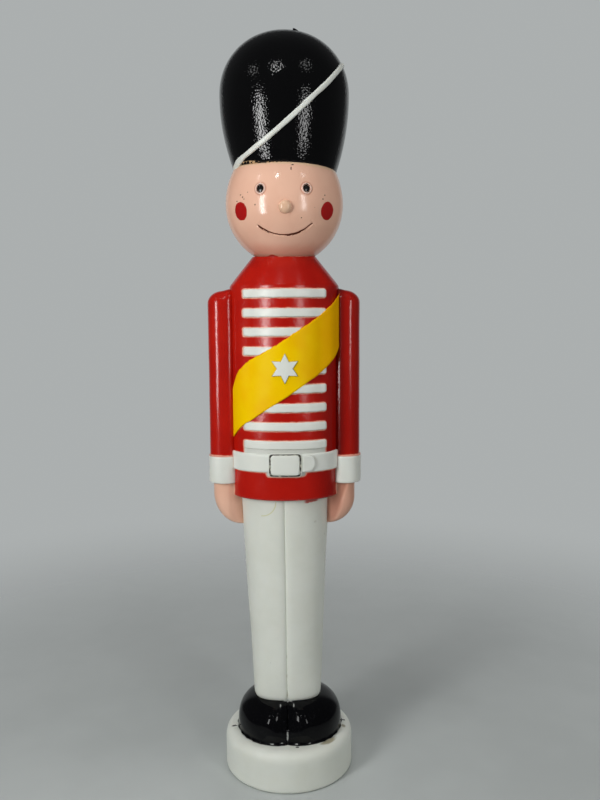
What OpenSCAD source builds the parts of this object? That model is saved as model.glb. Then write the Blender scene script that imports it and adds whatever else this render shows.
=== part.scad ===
// Hollow blow-moulded toy soldier on a round base, standing, with a push-in lamp under the base.
// Lengths are in millimetres. The origin is the middle of the underside, the soldier looks along -Y,
// and left and right are the soldier's own: the left hand is on the +X side.

/* [Moulding] */
// Wall of the blow-moulded shell
wall = 2; // [1.2:0.1:2.6]

/* [Base] */
// Radius of the round base
base_r = 60.7; // [56:0.1:80]
// Height of the base
base_h = 38.5; // [34:0.5:60]
// Radius of the rounded top edge of the base
base_edge_r = 10.5; // [5:0.5:12]
// Radius of the rounded bottom edge of the base
base_foot_r = 4; // [3:0.5:6]
// Width of the ring that the base stands on, with its rounded edge
foot_ring_w = 13; // [9:0.5:16]
// Height of the recess under the base
pan_rise = 12; // [9:0.5:16]
// Radius of the lamp's hole in the base
lamp_hole_r = 17.5; // [15:0.1:22]
// Height of the collar round the lamp's hole
lamp_collar_h = 8; // [5:0.5:12]
// Radius of the opening from the base up into the shoes
light_hole_r = 28; // [20:0.5:32]
// Radius of the notch that lets the lamp's lead out at the back
lead_notch_r = 4.5; // [3:0.1:6]

/* [Shoes] */
// Width of the pair of shoes
shoes_w = 99; // [94:1:104]
// Reach of the toes in front of the middle
toe_reach = 44.5; // [38:0.5:48]
// Reach of the heels behind the middle
heel_reach = 41; // [36:0.5:46]
// Height of the shoes up to the trouser bottoms
shoe_h = 33.5; // [26:0.5:40]
// How much higher the rounded shoe would reach if it closed at the top
shoe_dome_rise = 10.5; // [9:0.5:24]
// Depth of the groove between the shoes
shoe_groove = 4; // [1:0.1:6]

/* [Trousers] */
// Length of the trousers from hem to coat
trousers_len = 198; // [150:1:260]
// How far the coat's hem stands out from the trousers at the sides
hem_side = 9; // [6:0.5:13]
// How far the coat's hem stands out from the trousers at the front and back
hem_front = 6.5; // [4:0.5:10]
// Width of both legs at the bottom
trousers_low_w = 64.6; // [56:0.2:68]
// Depth of the legs at the bottom
trousers_low_d = 52; // [44:1:54]
// Depth of the groove between the legs
leg_groove = 3; // [1:0.1:5]

/* [Coat] */
// Width of the coat without the arms
coat_w = 102; // [98:1:112]
// Depth of the coat from front to back
coat_d = 80; // [78:1:100]
// Height of the coat from its hem to the shoulder line
coat_h = 195; // [192:1:240]
// Height of the sloping shoulders
shoulder_h = 26.5; // [15:0.5:40]
// Radius of the neck opening
neck_r = 27.2; // [22:0.2:34]
// How square the coat's oval is, from 2 for an ellipse
coat_square_share = 2.1; // [2:0.1:3]

/* [Belt] */
// Height of the belt above the coat's hem
belt_rise = 26.5; // [20:0.5:29]
// Width of the belt
belt_w = 16.8; // [12:0.1:17]
// How far the belt stands out from the coat
belt_out = 2; // [1:0.1:3]
// Width of the buckle
buckle_w = 26; // [20:0.5:36]
// Height of the buckle
buckle_h = 18.4; // [18:0.1:20]
// How far the buckle stands out from the belt
buckle_out = 1.4; // [0.8:0.1:2.5]
// Length of the belt's loose end beside the buckle
tongue_len = 12; // [9:0.5:16]

/* [Chest] */
// Length of a bar
bar_len = 75; // [60:1:80]
// Height of a bar
bar_h = 8.4; // [5:0.1:11]
// Distance from the shoulder line down to the middle of the first bar
bar_drop = 8.8; // [6:0.1:12]
// Distance from the belt up to the middle of the last bar
bar_rise = 8.5; // [6:0.1:12]
// How far a bar stands out from the coat
bar_out = 1.5; // [0.8:0.1:2.4]
// How far the sash climbs from one end of a bar to the other
sash_climb = 50.3; // [40:0.1:58]
// Height of the sash's middle above the middle bar
sash_lift = 1.3; // [0.5:0.1:3]
// How far the sash stands out from the coat
sash_out = 2.2; // [1.2:0.1:3.4]
// Radius of the star over its points
star_r = 13.2; // [8:0.1:15]
// How far the star stands out from the sash
star_out = 1; // [0.6:0.1:2]

/* [Arms] */
// How far the sleeves stand out from the coat's sides
arm_out = 19.4; // [16:0.2:22]
// Width of a sleeve
arm_w = 28; // [26:0.5:36]
// Depth of a sleeve from front to back
arm_d = 36; // [30:0.5:44]
// Distance from the shoulder line down to the top of the sleeve
arm_drop = 2; // [0:0.5:8]
// Height of a cuff
cuff_h = 26; // [18:0.5:32]
// Height of a cuff's lower edge above the coat's hem
cuff_rise = 12; // [8:0.5:18]
// How far a cuff stands out from the sleeve
cuff_out = 2; // [1:0.1:3]
// Length of a hand below the cuff
hand_len = 43; // [34:0.5:54]
// Depth of a hand from front to back
hand_d = 30; // [24:0.5:34]

/* [Head] */
// Radius of the round head
head_r = 54.3; // [50:0.1:60]
// Height from the head's middle to where its crown would close
head_crown = 60; // [54:0.5:70]
// Distance between the middles of the eyes
eye_gap = 40; // [30:0.5:50]
// Height of the eyes above the head's middle
eye_rise = 7.2; // [2:0.1:12]
// Radius of an eye
eye_r = 4.6; // [3:0.1:6]
// Radius of the round nose
nose_r = 5.3; // [3.5:0.1:7]
// Distance from the head's middle down to the nose
nose_drop = 8.6; // [4:0.1:12]
// Radius of a red cheek spot
cheek_r = 8; // [5:0.1:10]
// Turn of a cheek spot from the front, in degrees
cheek_turn = 46; // [38:1:55]
// Distance from the head's middle down to the cheek spots
cheek_drop = 10.2; // [4:0.1:14]
// Radius of the smile's curve
smile_r = 32.4; // [26:0.2:40]
// Half of the angle that the smile spans, in degrees
smile_half = 44; // [25:1:50]
// Distance from the head's middle down to the lowest point of the smile
smile_drop = 31; // [26:0.2:34]
// Width of the smile's groove
smile_w = 1.3; // [0.8:0.1:2]

/* [Hat] */
// Widest radius of the hat
hat_r = 58.3; // [50:0.1:66]
// Height of the hat
hat_h = 120.2; // [90:0.2:150]
// How far the hat's lower edge lies inside the head's widest radius
brim_inset = 7.5; // [6:0.1:11]
// Width of the strap across the hat
strap_w = 4.6; // [3:0.1:8]
// How far the strap stands out from the hat
strap_out = 1.6; // [0.8:0.1:2]

/* [Lamp] */
// Radius of the lamp holder's flange
plug_flange_r = 23; // [22:0.1:28]
// Thickness of the lamp holder's flange
plug_flange_t = 2.5; // [1.5:0.1:4]
// Gap between the lamp holder and the collar round it
plug_gap = 0.15; // [0.05:0.05:0.3]
// Radius of the hole for the lead
lead_r = 3.2; // [2:0.1:4]
// Outer radius of the lamp socket
socket_r = 11.5; // [10.5:0.1:13]
// Height of the lamp socket
socket_h = 24; // [20:0.5:30]
// Radius of the bulb's screw cap
bulb_cap_r = 6; // [5:0.1:7]
// Length of the bulb's screw cap
bulb_cap_h = 18; // [14:0.5:20]
// Widest radius of the bulb's glass
bulb_r = 11; // [8:0.1:13]
// Length of the bulb's glass
bulb_h = 38; // [28:0.5:46]

/* [Hidden] */

// Sides of round things, and points round an oval section
round_fn = 96;
oval_n = 72;
half_n = 24;
// Length by which a cutter reaches past what it cuts
over = 1;

// Heights of the levels where the pieces of the shell meet
hem_z = base_h + shoe_h;
skirt_z = hem_z + trousers_len;
shoulder_z = skirt_z + coat_h;
neck_z = shoulder_z + shoulder_h;
cuff_z = skirt_z + cuff_rise;
cuff_top_z = cuff_z + cuff_h;
belt_z = skirt_z + belt_rise;
belt_top_z = belt_z + belt_w;
arm_top_z = shoulder_z - arm_drop;

// The white bars are spread evenly between the shoulders and the belt
bar_count = 9;
first_bar_z = shoulder_z - bar_drop;
last_bar_z = belt_top_z + bar_rise;
bar_pitch = (first_bar_z - last_bar_z) / (bar_count - 1);

// The sash is taller than its climb by this share of a bar's height, so that every bar shows beside it
sash_lap_share = 0.49;
sash_z = (first_bar_z + last_bar_z) / 2 + sash_lift;
sash_h = sash_climb + bar_h * sash_lap_share;

// The head stands on the neck with this step all round, and the hat on the head with the next one
neck_step = 0.6;
brim_step = 0.3;
head_low_r = neck_r - neck_step;
brim_r = head_r - brim_inset;
head_top_r = brim_r - brim_step;
head_z = neck_z + sqrt(head_r * head_r - head_low_r * head_low_r);
brim_z = head_z + head_crown * sqrt(1 - pow(head_top_r / head_r, 2));
hat_top_z = brim_z + hat_h;

// The hat is widest at this share of its height, and its crown is this square
hat_belly_share = 0.538;
hat_square_share = 2.11;

// Size of both legs under the coat
trousers_top_w = coat_w - hem_side * 2;
trousers_top_d = coat_d - hem_front * 2;

// Width of the soft grooves between the legs and between the shoes, and how far past a leg its core runs
leg_groove_w = 2.4;
shoe_groove_w = 4;
leg_over_share = 0.01;

// Height of a shoe if it closed at the top
shoe_dome_h = shoe_h + shoe_dome_rise;

// How far the ledge on top of a shoe runs on inwards from the trouser leg that stands on it
shoe_ledge = 3;

// A sleeve's outer side and middle, its rounded top, and the gap between a hand and the trousers
arm_side_x = coat_w / 2 + arm_out;
arm_x = arm_side_x - arm_w / 2;
arm_round_share = 0.41;
arm_round = arm_w * arm_round_share;
hand_gap = 1;
hand_inset = 3;
hand_corner_h = 24;
hand_corner_w = 23;
hand_square_share = 2.3;
hand_tip_share = 0.25;

// Corners of the bars, the buckle and its rim, and how far the buckle's middle lies below its rim
bar_corner_r = 1.8;
buckle_corner_r = 3;
buckle_rim_w = 1.6;
buckle_sink = 0.5;

// The belt's loose end lies this far inside the belt's edges and stands out this far from it
tongue_inset = 0.7;
tongue_out = 0.8;
tongue_h = belt_w - tongue_inset * 2;

// Turns from the front at which the sash's outline ends and passes the ends of the bars, in degrees
sash_turn = 88;
sash_bar_turn = asin(bar_len / (coat_w + sash_out * 2));

// Depth of the pockets in the head for the eyes, cheeks and smile, and how much of it they fill
eye_pocket = 1.2;
eye_rim = 0.5;
eye_rim_w = 0.9;
pupil_share = 0.61;
pupil_r = eye_r * pupil_share;
pupil_sink = 0.5;
cheek_t = 0.8;
smile_depth = 1.2;
smile_fill = 0.7;

// The nose's middle lies under the head's surface by this share of its radius
nose_sink_share = 0.25;

// Gaps and thicknesses inside the lamp
socket_floor = 3;
contact_r = 4;
contact_t = 1.2;
cap_gap = 0.5;
cap_wall = 0.8;
glass_wall = 0.8;
thread_turns = 4;
thread_depth = 0.5;
bulb_belly_share = 1.25;
bulb_taper_share = 0.25;
plug_top_z = pan_rise + lamp_collar_h;
contact_z = plug_top_z + socket_floor;
cap_z = contact_z + contact_t;
glass_z = cap_z + bulb_cap_h;

// Strap route over the hat: shares of the widest radius to the side, and of the hat's height
strap_side_shares = [-0.74, -0.5, -0.26, 0.08, 0.44, 0.69, 0.92, 1.05];
strap_up_shares = [0.0, 0.07, 0.142, 0.268, 0.43, 0.56, 0.765, 0.9];

// Six-pointed star: its notches lie at this share of its radius
star_notch_share = 0.53;

function signed_pow(v, p) = sign(v) * pow(abs(v), p);

// Points of an oval section, counted from the front, with any squareness
function oval(a, b, e = 2, n = oval_n) = [
  for (i = [0:n - 1])
    let (t = 360 * i / n)
      [a * signed_pow(sin(t), 2 / e), -b * signed_pow(cos(t), 2 / e)]
];

function coat_oval(out = 0) = oval(coat_w / 2 + out, coat_d / 2 + out, coat_square_share);
function sleeve_oval(out = 0) = [
  for (p = oval(arm_w / 2 + out, arm_d / 2 + out, n = half_n * 2)) [p[0] + arm_x, p[1]]
];

// Half of a paired section on the +X side, from the front groove round to the back groove
function half_pair(a, front, back, groove, groove_w) = [
  for (i = [0:half_n])
    let (t = 90 - 90 * cos(180 * i / half_n))
    let (x = a * sin(t))
    let (reach = t < 90 ? front : back)
    let (dip = groove * exp(-pow(x / groove_w, 2)))
      [x, -sign(cos(t)) * (reach * abs(cos(t)) - dip)]
];

// A half section carried on past the middle plane, so that what it cuts stays open there
function opened(half) = concat(
  [[-over, half[0][1]]], half, [[-over, half[len(half) - 1][1]]]
);

function at_height(points, z) = [for (p = points) [p[0], p[1], z]];
function reversed(list) = [for (i = [len(list) - 1:-1:0]) list[i]];
function blend(a, b, share) = a + (b - a) * share;

// Half sizes of the legs at a height above their bottom, given as a share of their length
function leg_half(share, out = 0) = half_pair(
  blend(trousers_low_w, trousers_top_w, share) / 2 + out,
  blend(trousers_low_d, trousers_top_d, share) / 2 + out,
  blend(trousers_low_d, trousers_top_d, share) / 2 + out,
  leg_groove, leg_groove_w
);

// Half outline of a shoe at a height above the base
function shoe_swell(z) = sqrt(1 - pow(z / shoe_dome_h, 2));
function shoe_half(z, out = 0) = half_pair(
  shoes_w / 2 * shoe_swell(z) + out,
  toe_reach * shoe_swell(z) + out,
  heel_reach * shoe_swell(z) + out,
  shoe_groove * sqrt(shoe_swell(z)), shoe_groove_w
);

// Radius and height of the hat's outline, grown by out, with its lower edge dropped by low
hat_belly = hat_h * hat_belly_share;
function hat_profile(out = 0, low = 0) = concat(
  [
    for (i = [0:8])
      let (u = i / 8)
        [hat_r - (hat_r - brim_r) * pow(1 - u, 2) + out, brim_z + hat_belly * u - (i == 0 ? low : 0)]
  ],
  [
    for (i = [1:14])
      let (t = 90 * i / 14)
        [
          i == 14 ? 0 : (hat_r + out) * pow(cos(t), 2 / hat_square_share),
          brim_z + hat_belly + (hat_h - hat_belly + out) * pow(sin(t), 2 / hat_square_share)
        ]
  ],
  [[0, brim_z - low]]
);

// Radius and height of the head's outline, grown by out and run on past both ends by more
head_low_turn = -acos(head_low_r / head_r);
head_high_turn = asin((brim_z - head_z) / head_crown);
function head_profile(out = 0, more = 0) = concat(
  [[0, neck_z - more], [head_low_r + out, neck_z - more]],
  [
    for (i = [0:16])
      let (t = head_low_turn * (1 - i / 16))
        [(head_r + out) * cos(t), head_z + (head_r + out) * sin(t)]
  ],
  [
    for (i = [1:8])
      let (t = head_high_turn * i / 8)
        [(head_r + out) * cos(t), head_z + (head_crown + out) * sin(t)]
  ],
  [[head_top_r + out, brim_z + more], [0, brim_z + more]]
);

function arc_points(x, y, r, from, to, n) = [
  for (i = [0:n])
    let (t = blend(from, to, i / n))
      [x + r * cos(t), y + r * sin(t)]
];

// Solid through sections that all have the same number of points
module loft(rings) {
  n = len(rings[0]);
  m = len(rings);
  polyhedron(
    points=[for (r = rings) each r],
    faces=concat(
      [[for (i = [0:n - 1]) i]],
      [
        for (j = [0:m - 2], i = [0:n - 1])
          [j * n + i, (j + 1) * n + i, (j + 1) * n + (i + 1) % n]
      ],
      [
        for (j = [0:m - 2], i = [0:n - 1])
          [j * n + i, (j + 1) * n + (i + 1) % n, j * n + (i + 1) % n]
      ],
      [[for (i = [0:n - 1]) (m - 1) * n + n - 1 - i]]
    )
  );
}

// Upright prism of an outline between two heights
module prism(points, low, high) {
  translate([0, 0, low]) linear_extrude(high - low) polygon(points);
}

// Band of the coat's surface between two reliefs
module coat_skin(inner, outer, low, high) {
  difference() {
    prism(coat_oval(outer), low, high);
    prism(coat_oval(inner), low - over, high + over);
  }
}

// What stands in front of the coat's middle plane, cut to an outline seen from the front
module front_cut() {
  rotate([90, 0, 0]) linear_extrude(coat_d) children();
}

module rounded_box(w, h, r) {
  hull() {
    for (x = [-1, 1], y = [-1, 1]) translate([x * (w / 2 - r), y * (h / 2 - r)]) circle(r, $fn=32);
  }
}

module both_sleeve_prisms(out, low, high) {
  prism(sleeve_oval(out), low, high);
  mirror([1, 0, 0]) prism(sleeve_oval(out), low, high);
}

// Room taken by the arms along the coat's sides
module arm_room() {
  both_sleeve_prisms(cuff_out, cuff_z, cuff_top_z);
  both_sleeve_prisms(0, cuff_top_z, arm_top_z);
}

// Round base with a recessed underside, a collar for the lamp and a notch for its lead
module base() {
  foot_in = base_r - foot_ring_w;
  outside = concat(
    arc_points(base_r - base_edge_r, base_h - base_edge_r, base_edge_r, 90, 0, 8),
    arc_points(base_r - base_foot_r, base_foot_r, base_foot_r, 0, -90, 5),
    [[foot_in, 0], [foot_in, pan_rise], [lamp_hole_r, pan_rise], [lamp_hole_r, base_h]]
  );
  inside = concat(
    [[lamp_hole_r - over, pan_rise + lamp_collar_h], [lamp_hole_r + wall, pan_rise + lamp_collar_h]],
    [[lamp_hole_r + wall, pan_rise + wall], [foot_in + wall, pan_rise + wall], [foot_in + wall, wall]],
    [[base_r - base_foot_r, wall], [base_r - wall, base_foot_r]],
    arc_points(base_r - base_edge_r, base_h - base_edge_r, base_edge_r - wall, 0, 90, 8),
    [[light_hole_r, base_h - wall], [light_hole_r, base_h + over], [lamp_hole_r - over, base_h + over]]
  );
  color("ivory") difference() {
    rotate_extrude($fn=round_fn) polygon(outside);
    difference() {
      rotate_extrude($fn=round_fn) polygon(inside);
      lead_notch(lead_notch_r + wall);
    }
    lead_notch(lead_notch_r);
  }
}

// Half-round channel through the back of the foot ring
module lead_notch(r) {
  translate([0, base_r / 2, 0]) rotate([-90, 0, 0]) rotate([0, 0, 90])
        cylinder(r=r, h=base_r, $fn=round_fn);
}

// One shoe of the pair, a hollow rounded cap with a ledge that the trouser leg stands on
module shoe() {
  steps = 8;
  difference() {
    loft([for (i = [0:steps]) let (z = shoe_h * i / steps) at_height(shoe_half(z), base_h + z)]);
    loft(
      [
        for (i = [0:steps])
          let (z = (shoe_h - wall) * i / steps)
            at_height(opened(shoe_half(z, -wall)), base_h + z - (i == 0 ? over : 0))
      ]
    );
    prism(opened(leg_half(0, -wall - shoe_ledge)), hem_z - wall - over, hem_z + over);
  }
}

module left_shoe() {
  color("black") shoe();
}

module right_shoe() {
  color("black") mirror([1, 0, 0]) shoe();
}

// One trouser leg: an open half tube that tapers down to the shoe
module trouser_leg() {
  difference() {
    loft([at_height(leg_half(0), hem_z), at_height(leg_half(1), skirt_z)]);
    loft([for (share = [-leg_over_share, 1 + leg_over_share])
      at_height(opened(leg_half(share, -wall)), hem_z + trousers_len * share)]);
  }
}

module left_trouser_leg() {
  color("floralwhite") trouser_leg();
}

module right_trouser_leg() {
  color("floralwhite") mirror([1, 0, 0]) trouser_leg();
}

// Red coat: an oval tube with a floor that the legs meet, and sloping shoulders up to the neck
module coat() {
  half_hole = leg_half(1, -wall);
  leg_hole = concat(half_hole, [for (p = reversed(half_hole)) [-p[0], p[1]]]);
  color("firebrick") difference() {
    loft(
      [
        at_height(coat_oval(), skirt_z),
        at_height(coat_oval(), shoulder_z),
        at_height(oval(neck_r, neck_r), neck_z)
      ]
    );
    loft(
      [
        at_height(coat_oval(-wall), skirt_z + wall),
        at_height(coat_oval(-wall), shoulder_z - wall / 2),
        at_height(oval(neck_r - wall, neck_r - wall), neck_z - wall / 2),
        at_height(oval(neck_r - wall, neck_r - wall), neck_z + over)
      ]
    );
    prism(leg_hole, skirt_z - over, skirt_z + wall + over);
  }
}

// White belt round the coat, in two stretches between the arms
module belt() {
  color("whitesmoke") difference() {
    coat_skin(0, belt_out, belt_z, belt_top_z);
    arm_room();
  }
}

module belt_buckle() {
  mid_z = belt_top_z - buckle_h / 2;
  color("whitesmoke") difference() {
    intersection() {
      coat_skin(0, belt_out + buckle_out, skirt_z + over, belt_top_z + over);
      front_cut() translate([0, mid_z]) rounded_box(buckle_w, buckle_h, buckle_corner_r);
    }
    coat_skin(0, belt_out, belt_z, belt_top_z);
    intersection() {
      coat_skin(belt_out + buckle_out - buckle_sink, belt_out + buckle_out + over, skirt_z, belt_top_z);
      front_cut() translate([0, mid_z])
          rounded_box(buckle_w - buckle_rim_w * 2, buckle_h - buckle_rim_w * 2, buckle_corner_r / 2);
    }
  }
}

// Loose end of the belt, round at its tip, beside the buckle
module belt_tongue() {
  mid_z = belt_top_z - belt_w / 2;
  color("whitesmoke") intersection() {
    coat_skin(belt_out, belt_out + tongue_out, belt_z, belt_top_z);
    front_cut() translate([buckle_w / 2, mid_z])
        intersection() {
          translate([0, -tongue_h / 2]) square([tongue_len, tongue_h]);
          translate([tongue_len - tongue_h, 0]) circle(tongue_h, $fn=round_fn);
        }
  }
}

// Edge of the sash seen from the front: a straight line laid round the coat's oval, moved up by rise
function sash_edge(rise) = [
  for (i = [-8:8])
    let (t = sash_turn * i / 8)
      [(coat_w / 2 + sash_out) * sin(t), sash_z + rise + sash_climb / 2 * t / sash_bar_turn]
];

// Outline of the sash seen from the front, grown up and down
module sash_shape(up = 0, down = 0) {
  polygon(concat(sash_edge(sash_h / 2 + up), reversed(sash_edge(-sash_h / 2 - down))));
}

module sash() {
  color("gold") difference() {
    intersection() {
      coat_skin(0, sash_out, belt_top_z, arm_top_z);
      front_cut() sash_shape();
    }
    arm_room();
  }
}

// One white bar of the chest, counted from the top, which ends at the sash
module chest_bar(k) {
  bar_z = first_bar_z - bar_pitch * (k - 1);
  over_sash = bar_z > sash_z;
  color("whitesmoke") intersection() {
    coat_skin(0, bar_out, bar_z - bar_h, bar_z + bar_h);
    front_cut() difference() {
      translate([0, bar_z]) rounded_box(bar_len, bar_h, bar_corner_r);
      sash_shape(over_sash ? 0 : coat_h, over_sash ? coat_h : 0);
    }
  }
}

module sash_star() {
  points = [
    for (i = [0:11])
      let (r = i % 2 == 0 ? star_r : star_r * star_notch_share)
        [r * sin(i * 30), sash_z + r * cos(i * 30)]
  ];
  color("whitesmoke") intersection() {
    coat_skin(sash_out, sash_out + star_out, sash_z - sash_h / 2, sash_z + sash_h / 2);
    front_cut() polygon(points);
  }
}

// Rings of a sleeve with a rounded top, smaller all round by inset
function sleeve_rings(inset, low_z) = let (r = arm_round - inset) concat(
  [at_height(sleeve_oval(-inset), low_z)],
  [
    for (i = [0:6])
      let (t = 90 * i / 6)
        at_height(sleeve_oval(-inset - r * (1 - cos(t))), arm_top_z - arm_round + r * sin(t))
  ]
);

// Red sleeve, a half-round hollow against the coat's side
module sleeve() {
  difference() {
    loft(sleeve_rings(0, cuff_top_z));
    loft(sleeve_rings(wall, cuff_top_z - over));
    prism(coat_oval(), cuff_z, shoulder_z + over);
  }
}

module left_sleeve() {
  color("firebrick") sleeve();
}

module right_sleeve() {
  color("firebrick") mirror([1, 0, 0]) sleeve();
}

// White cuff, standing out all round the end of the sleeve
module cuff() {
  difference() {
    prism(sleeve_oval(cuff_out), cuff_z, cuff_top_z);
    prism(coat_oval(), cuff_z - over, cuff_top_z + over);
  }
}

module left_cuff() {
  color("whitesmoke") cuff();
}

module right_cuff() {
  color("whitesmoke") mirror([1, 0, 0]) cuff();
}

// Mitten hand below the cuff, pressed against the coat's hem and the trousers
module hand() {
  low_z = cuff_z - hand_len;
  inner_x = trousers_top_w / 2 + hand_gap;
  outer_x = arm_side_x - hand_inset;
  steps = 8;
  difference() {
    loft(
      [
        for (i = [0:steps + 1])
          let (u = min(1, sin(90 * min(i, steps) / steps)))
          let (rise = i > steps ? hand_len : hand_corner_h * (1 - cos(90 * i / steps)))
          let (side_x = outer_x - hand_corner_w * (1 - u))
          let (half_w = (side_x - inner_x) / 2)
          let (half_d = hand_d / 2 * blend(hand_tip_share, 1, u))
          let (ring = oval(half_w, half_d, hand_square_share, half_n * 2))
            [for (p = ring) [p[0] + inner_x + half_w, p[1], low_z + rise]]
      ]
    );
    prism(coat_oval(), skirt_z, cuff_z + over);
  }
}

module left_hand() {
  color("lightpink") hand();
}

module right_hand() {
  color("lightpink") mirror([1, 0, 0]) hand();
}

// Places on the head's surface: a turn about Z and a drop or rise from the head's middle
function head_reach(rise) = sqrt(head_r * head_r - rise * rise);
eye_turn = asin(eye_gap / 2 / head_reach(eye_rise));

// Carries a shape with its axis square to the head's surface at a turn and a rise
module on_head(turn, rise, depth) {
  translate([0, 0, head_z]) rotate([0, 0, turn]) rotate([90 - asin(rise / head_r), 0, 0])
        translate([0, 0, head_r - depth]) children();
}

// Groove of the smile seen from the front
module smile_shape() {
  translate([0, head_z - smile_drop + smile_r]) difference() {
    intersection() {
      circle(smile_r + smile_w / 2, $fn=round_fn);
      polygon([[0, 0], [smile_r * 2 * sin(-smile_half), -smile_r * 2 * cos(smile_half)],
        [smile_r * 2 * sin(smile_half), -smile_r * 2 * cos(smile_half)]]);
    }
    circle(smile_r - smile_w / 2, $fn=round_fn);
  }
}

module head_skin(inner, outer) {
  difference() {
    rotate_extrude($fn=round_fn) polygon(head_profile(outer));
    rotate_extrude($fn=round_fn) polygon(head_profile(inner, over));
  }
}

// Round head with a ball nose and shallow seats for the eyes, cheeks and smile
module head() {
  color("lightpink") difference() {
    union() {
      head_skin(-wall, 0);
      translate([0, nose_r * nose_sink_share - head_reach(nose_drop), head_z - nose_drop])
          sphere(nose_r, $fn=round_fn);
    }
    translate([0, 0, head_z]) sphere(head_r - wall, $fn=round_fn);
    for (s = [-1, 1]) {
      on_head(s * eye_turn, eye_rise, eye_pocket) cylinder(r=eye_r, h=eye_pocket + over, $fn=round_fn);
      intersection() {
        head_skin(-cheek_t, over);
        on_head(s * cheek_turn, -cheek_drop, nose_r) cylinder(r=cheek_r, h=nose_r * 2, $fn=round_fn);
      }
    }
    intersection() {
      head_skin(-smile_depth, over);
      front_cut() smile_shape();
    }
  }
}

// Eye: a disc with a raised rim and a sunk pupil
module eye(side) {
  top = eye_pocket + eye_rim;
  color("white") on_head(side * eye_turn, eye_rise, eye_pocket) rotate_extrude($fn=round_fn)
        polygon(
          [
            [0, 0], [eye_r, 0], [eye_r, top - eye_rim / 2], [eye_r - eye_rim_w / 2, top],
            [pupil_r + eye_rim_w / 2, top], [pupil_r, top - pupil_sink], [0, top - pupil_sink]
          ]
        );
}

module cheek(side) {
  color("crimson") intersection() {
    head_skin(-cheek_t, 0);
    on_head(side * cheek_turn, -cheek_drop, nose_r) cylinder(r=cheek_r, h=nose_r * 2, $fn=round_fn);
  }
}

module smile_line() {
  color("saddlebrown") intersection() {
    head_skin(-smile_depth, smile_fill - smile_depth);
    front_cut() smile_shape();
  }
}

// Tall rounded hat, hollow and open at its lower edge
module hat() {
  color("black") difference() {
    rotate_extrude($fn=round_fn) polygon(hat_profile());
    rotate_extrude($fn=round_fn) polygon(hat_profile(-wall, over));
  }
}

// Strap that crosses the hat's front from the lower edge up to the other side
module strap_shape() {
  route = [
    for (i = [0:len(strap_side_shares) - 1])
      [strap_side_shares[i] * hat_r, brim_z + strap_up_shares[i] * hat_h]
  ];
  n = len(route) - 1;
  sides = [
    for (i = [0:n])
      let (d = route[min(i + 1, n)] - route[max(i - 1, 0)])
        [-d[1], d[0]] / norm(d) * strap_w / 2
  ];
  polygon(concat([for (i = [0:n]) route[i] + sides[i]], [for (i = [n:-1:0]) route[i] - sides[i]]));
}

module hat_strap() {
  color("whitesmoke") intersection() {
    difference() {
      rotate_extrude($fn=round_fn) polygon(hat_profile(strap_out));
      rotate_extrude($fn=round_fn) polygon(hat_profile(0, over));
    }
    rotate([90, 0, 0]) linear_extrude(hat_r * 2) strap_shape();
  }
}

// Push-in holder: a flange under the base, a spigot in the collar and a hole for the lead
module lamp_holder() {
  low_z = pan_rise - plug_flange_t;
  color("darkgreen") rotate_extrude($fn=round_fn) polygon(
      [
        [lead_r, low_z], [plug_flange_r, low_z], [plug_flange_r, pan_rise],
        [lamp_hole_r - plug_gap, pan_rise], [lamp_hole_r - plug_gap, plug_top_z], [lead_r, plug_top_z]
      ]
    );
}

module lamp_socket() {
  bore = bulb_cap_r + cap_gap;
  color("dimgray") rotate_extrude($fn=round_fn) polygon(
      [
        [lead_r, plug_top_z], [socket_r, plug_top_z], [socket_r, plug_top_z + socket_h],
        [bore, plug_top_z + socket_h], [bore, contact_z], [lead_r, contact_z]
      ]
    );
}

module socket_contact() {
  color("goldenrod") translate([0, 0, contact_z]) cylinder(r=contact_r, h=contact_t, $fn=round_fn);
}

// Screw cap of the bulb, with rounded thread ridges drawn as rings
module bulb_cap() {
  pitch = bulb_cap_h / (thread_turns + 2);
  ridges = [
    for (i = [1:thread_turns])
      each [
        [bulb_cap_r - thread_depth, cap_z + pitch * i],
        [bulb_cap_r, cap_z + pitch * (i + 1 / 2)]
      ]
  ];
  color("goldenrod") rotate_extrude($fn=round_fn) polygon(
      concat(
        [[0, cap_z], [contact_r, cap_z]], ridges,
        [
          [bulb_cap_r - thread_depth, glass_z - pitch], [bulb_cap_r - thread_depth, glass_z],
          [bulb_cap_r - thread_depth - cap_wall, glass_z],
          [bulb_cap_r - thread_depth - cap_wall, cap_z + pitch], [0, cap_z + pitch]
        ]
      )
    );
}

// Flame-shaped glass of the bulb, open where it sits on the cap
module bulb_glass() {
  shape = [
    for (i = [0:14])
      let (u = i / 14)
        [u, sin(180 * pow(u, bulb_belly_share)) * (1 - bulb_taper_share * u)]
  ];
  low_r = bulb_cap_r - thread_depth;
  outer = [
    for (p = shape)
      [max(p[0] < 1 / 2 ? low_r : 0, bulb_r * p[1]), glass_z + bulb_h * p[0]]
  ];
  inner = [
    for (p = reversed(shape))
      let (least_r = p[0] < 1 / 2 ? low_r - glass_wall : 0)
        [max(least_r, bulb_r * p[1] - glass_wall), glass_z + (bulb_h - glass_wall) * p[0]]
  ];
  color("lightyellow") rotate_extrude($fn=round_fn) polygon(concat(outer, inner));
}

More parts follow.
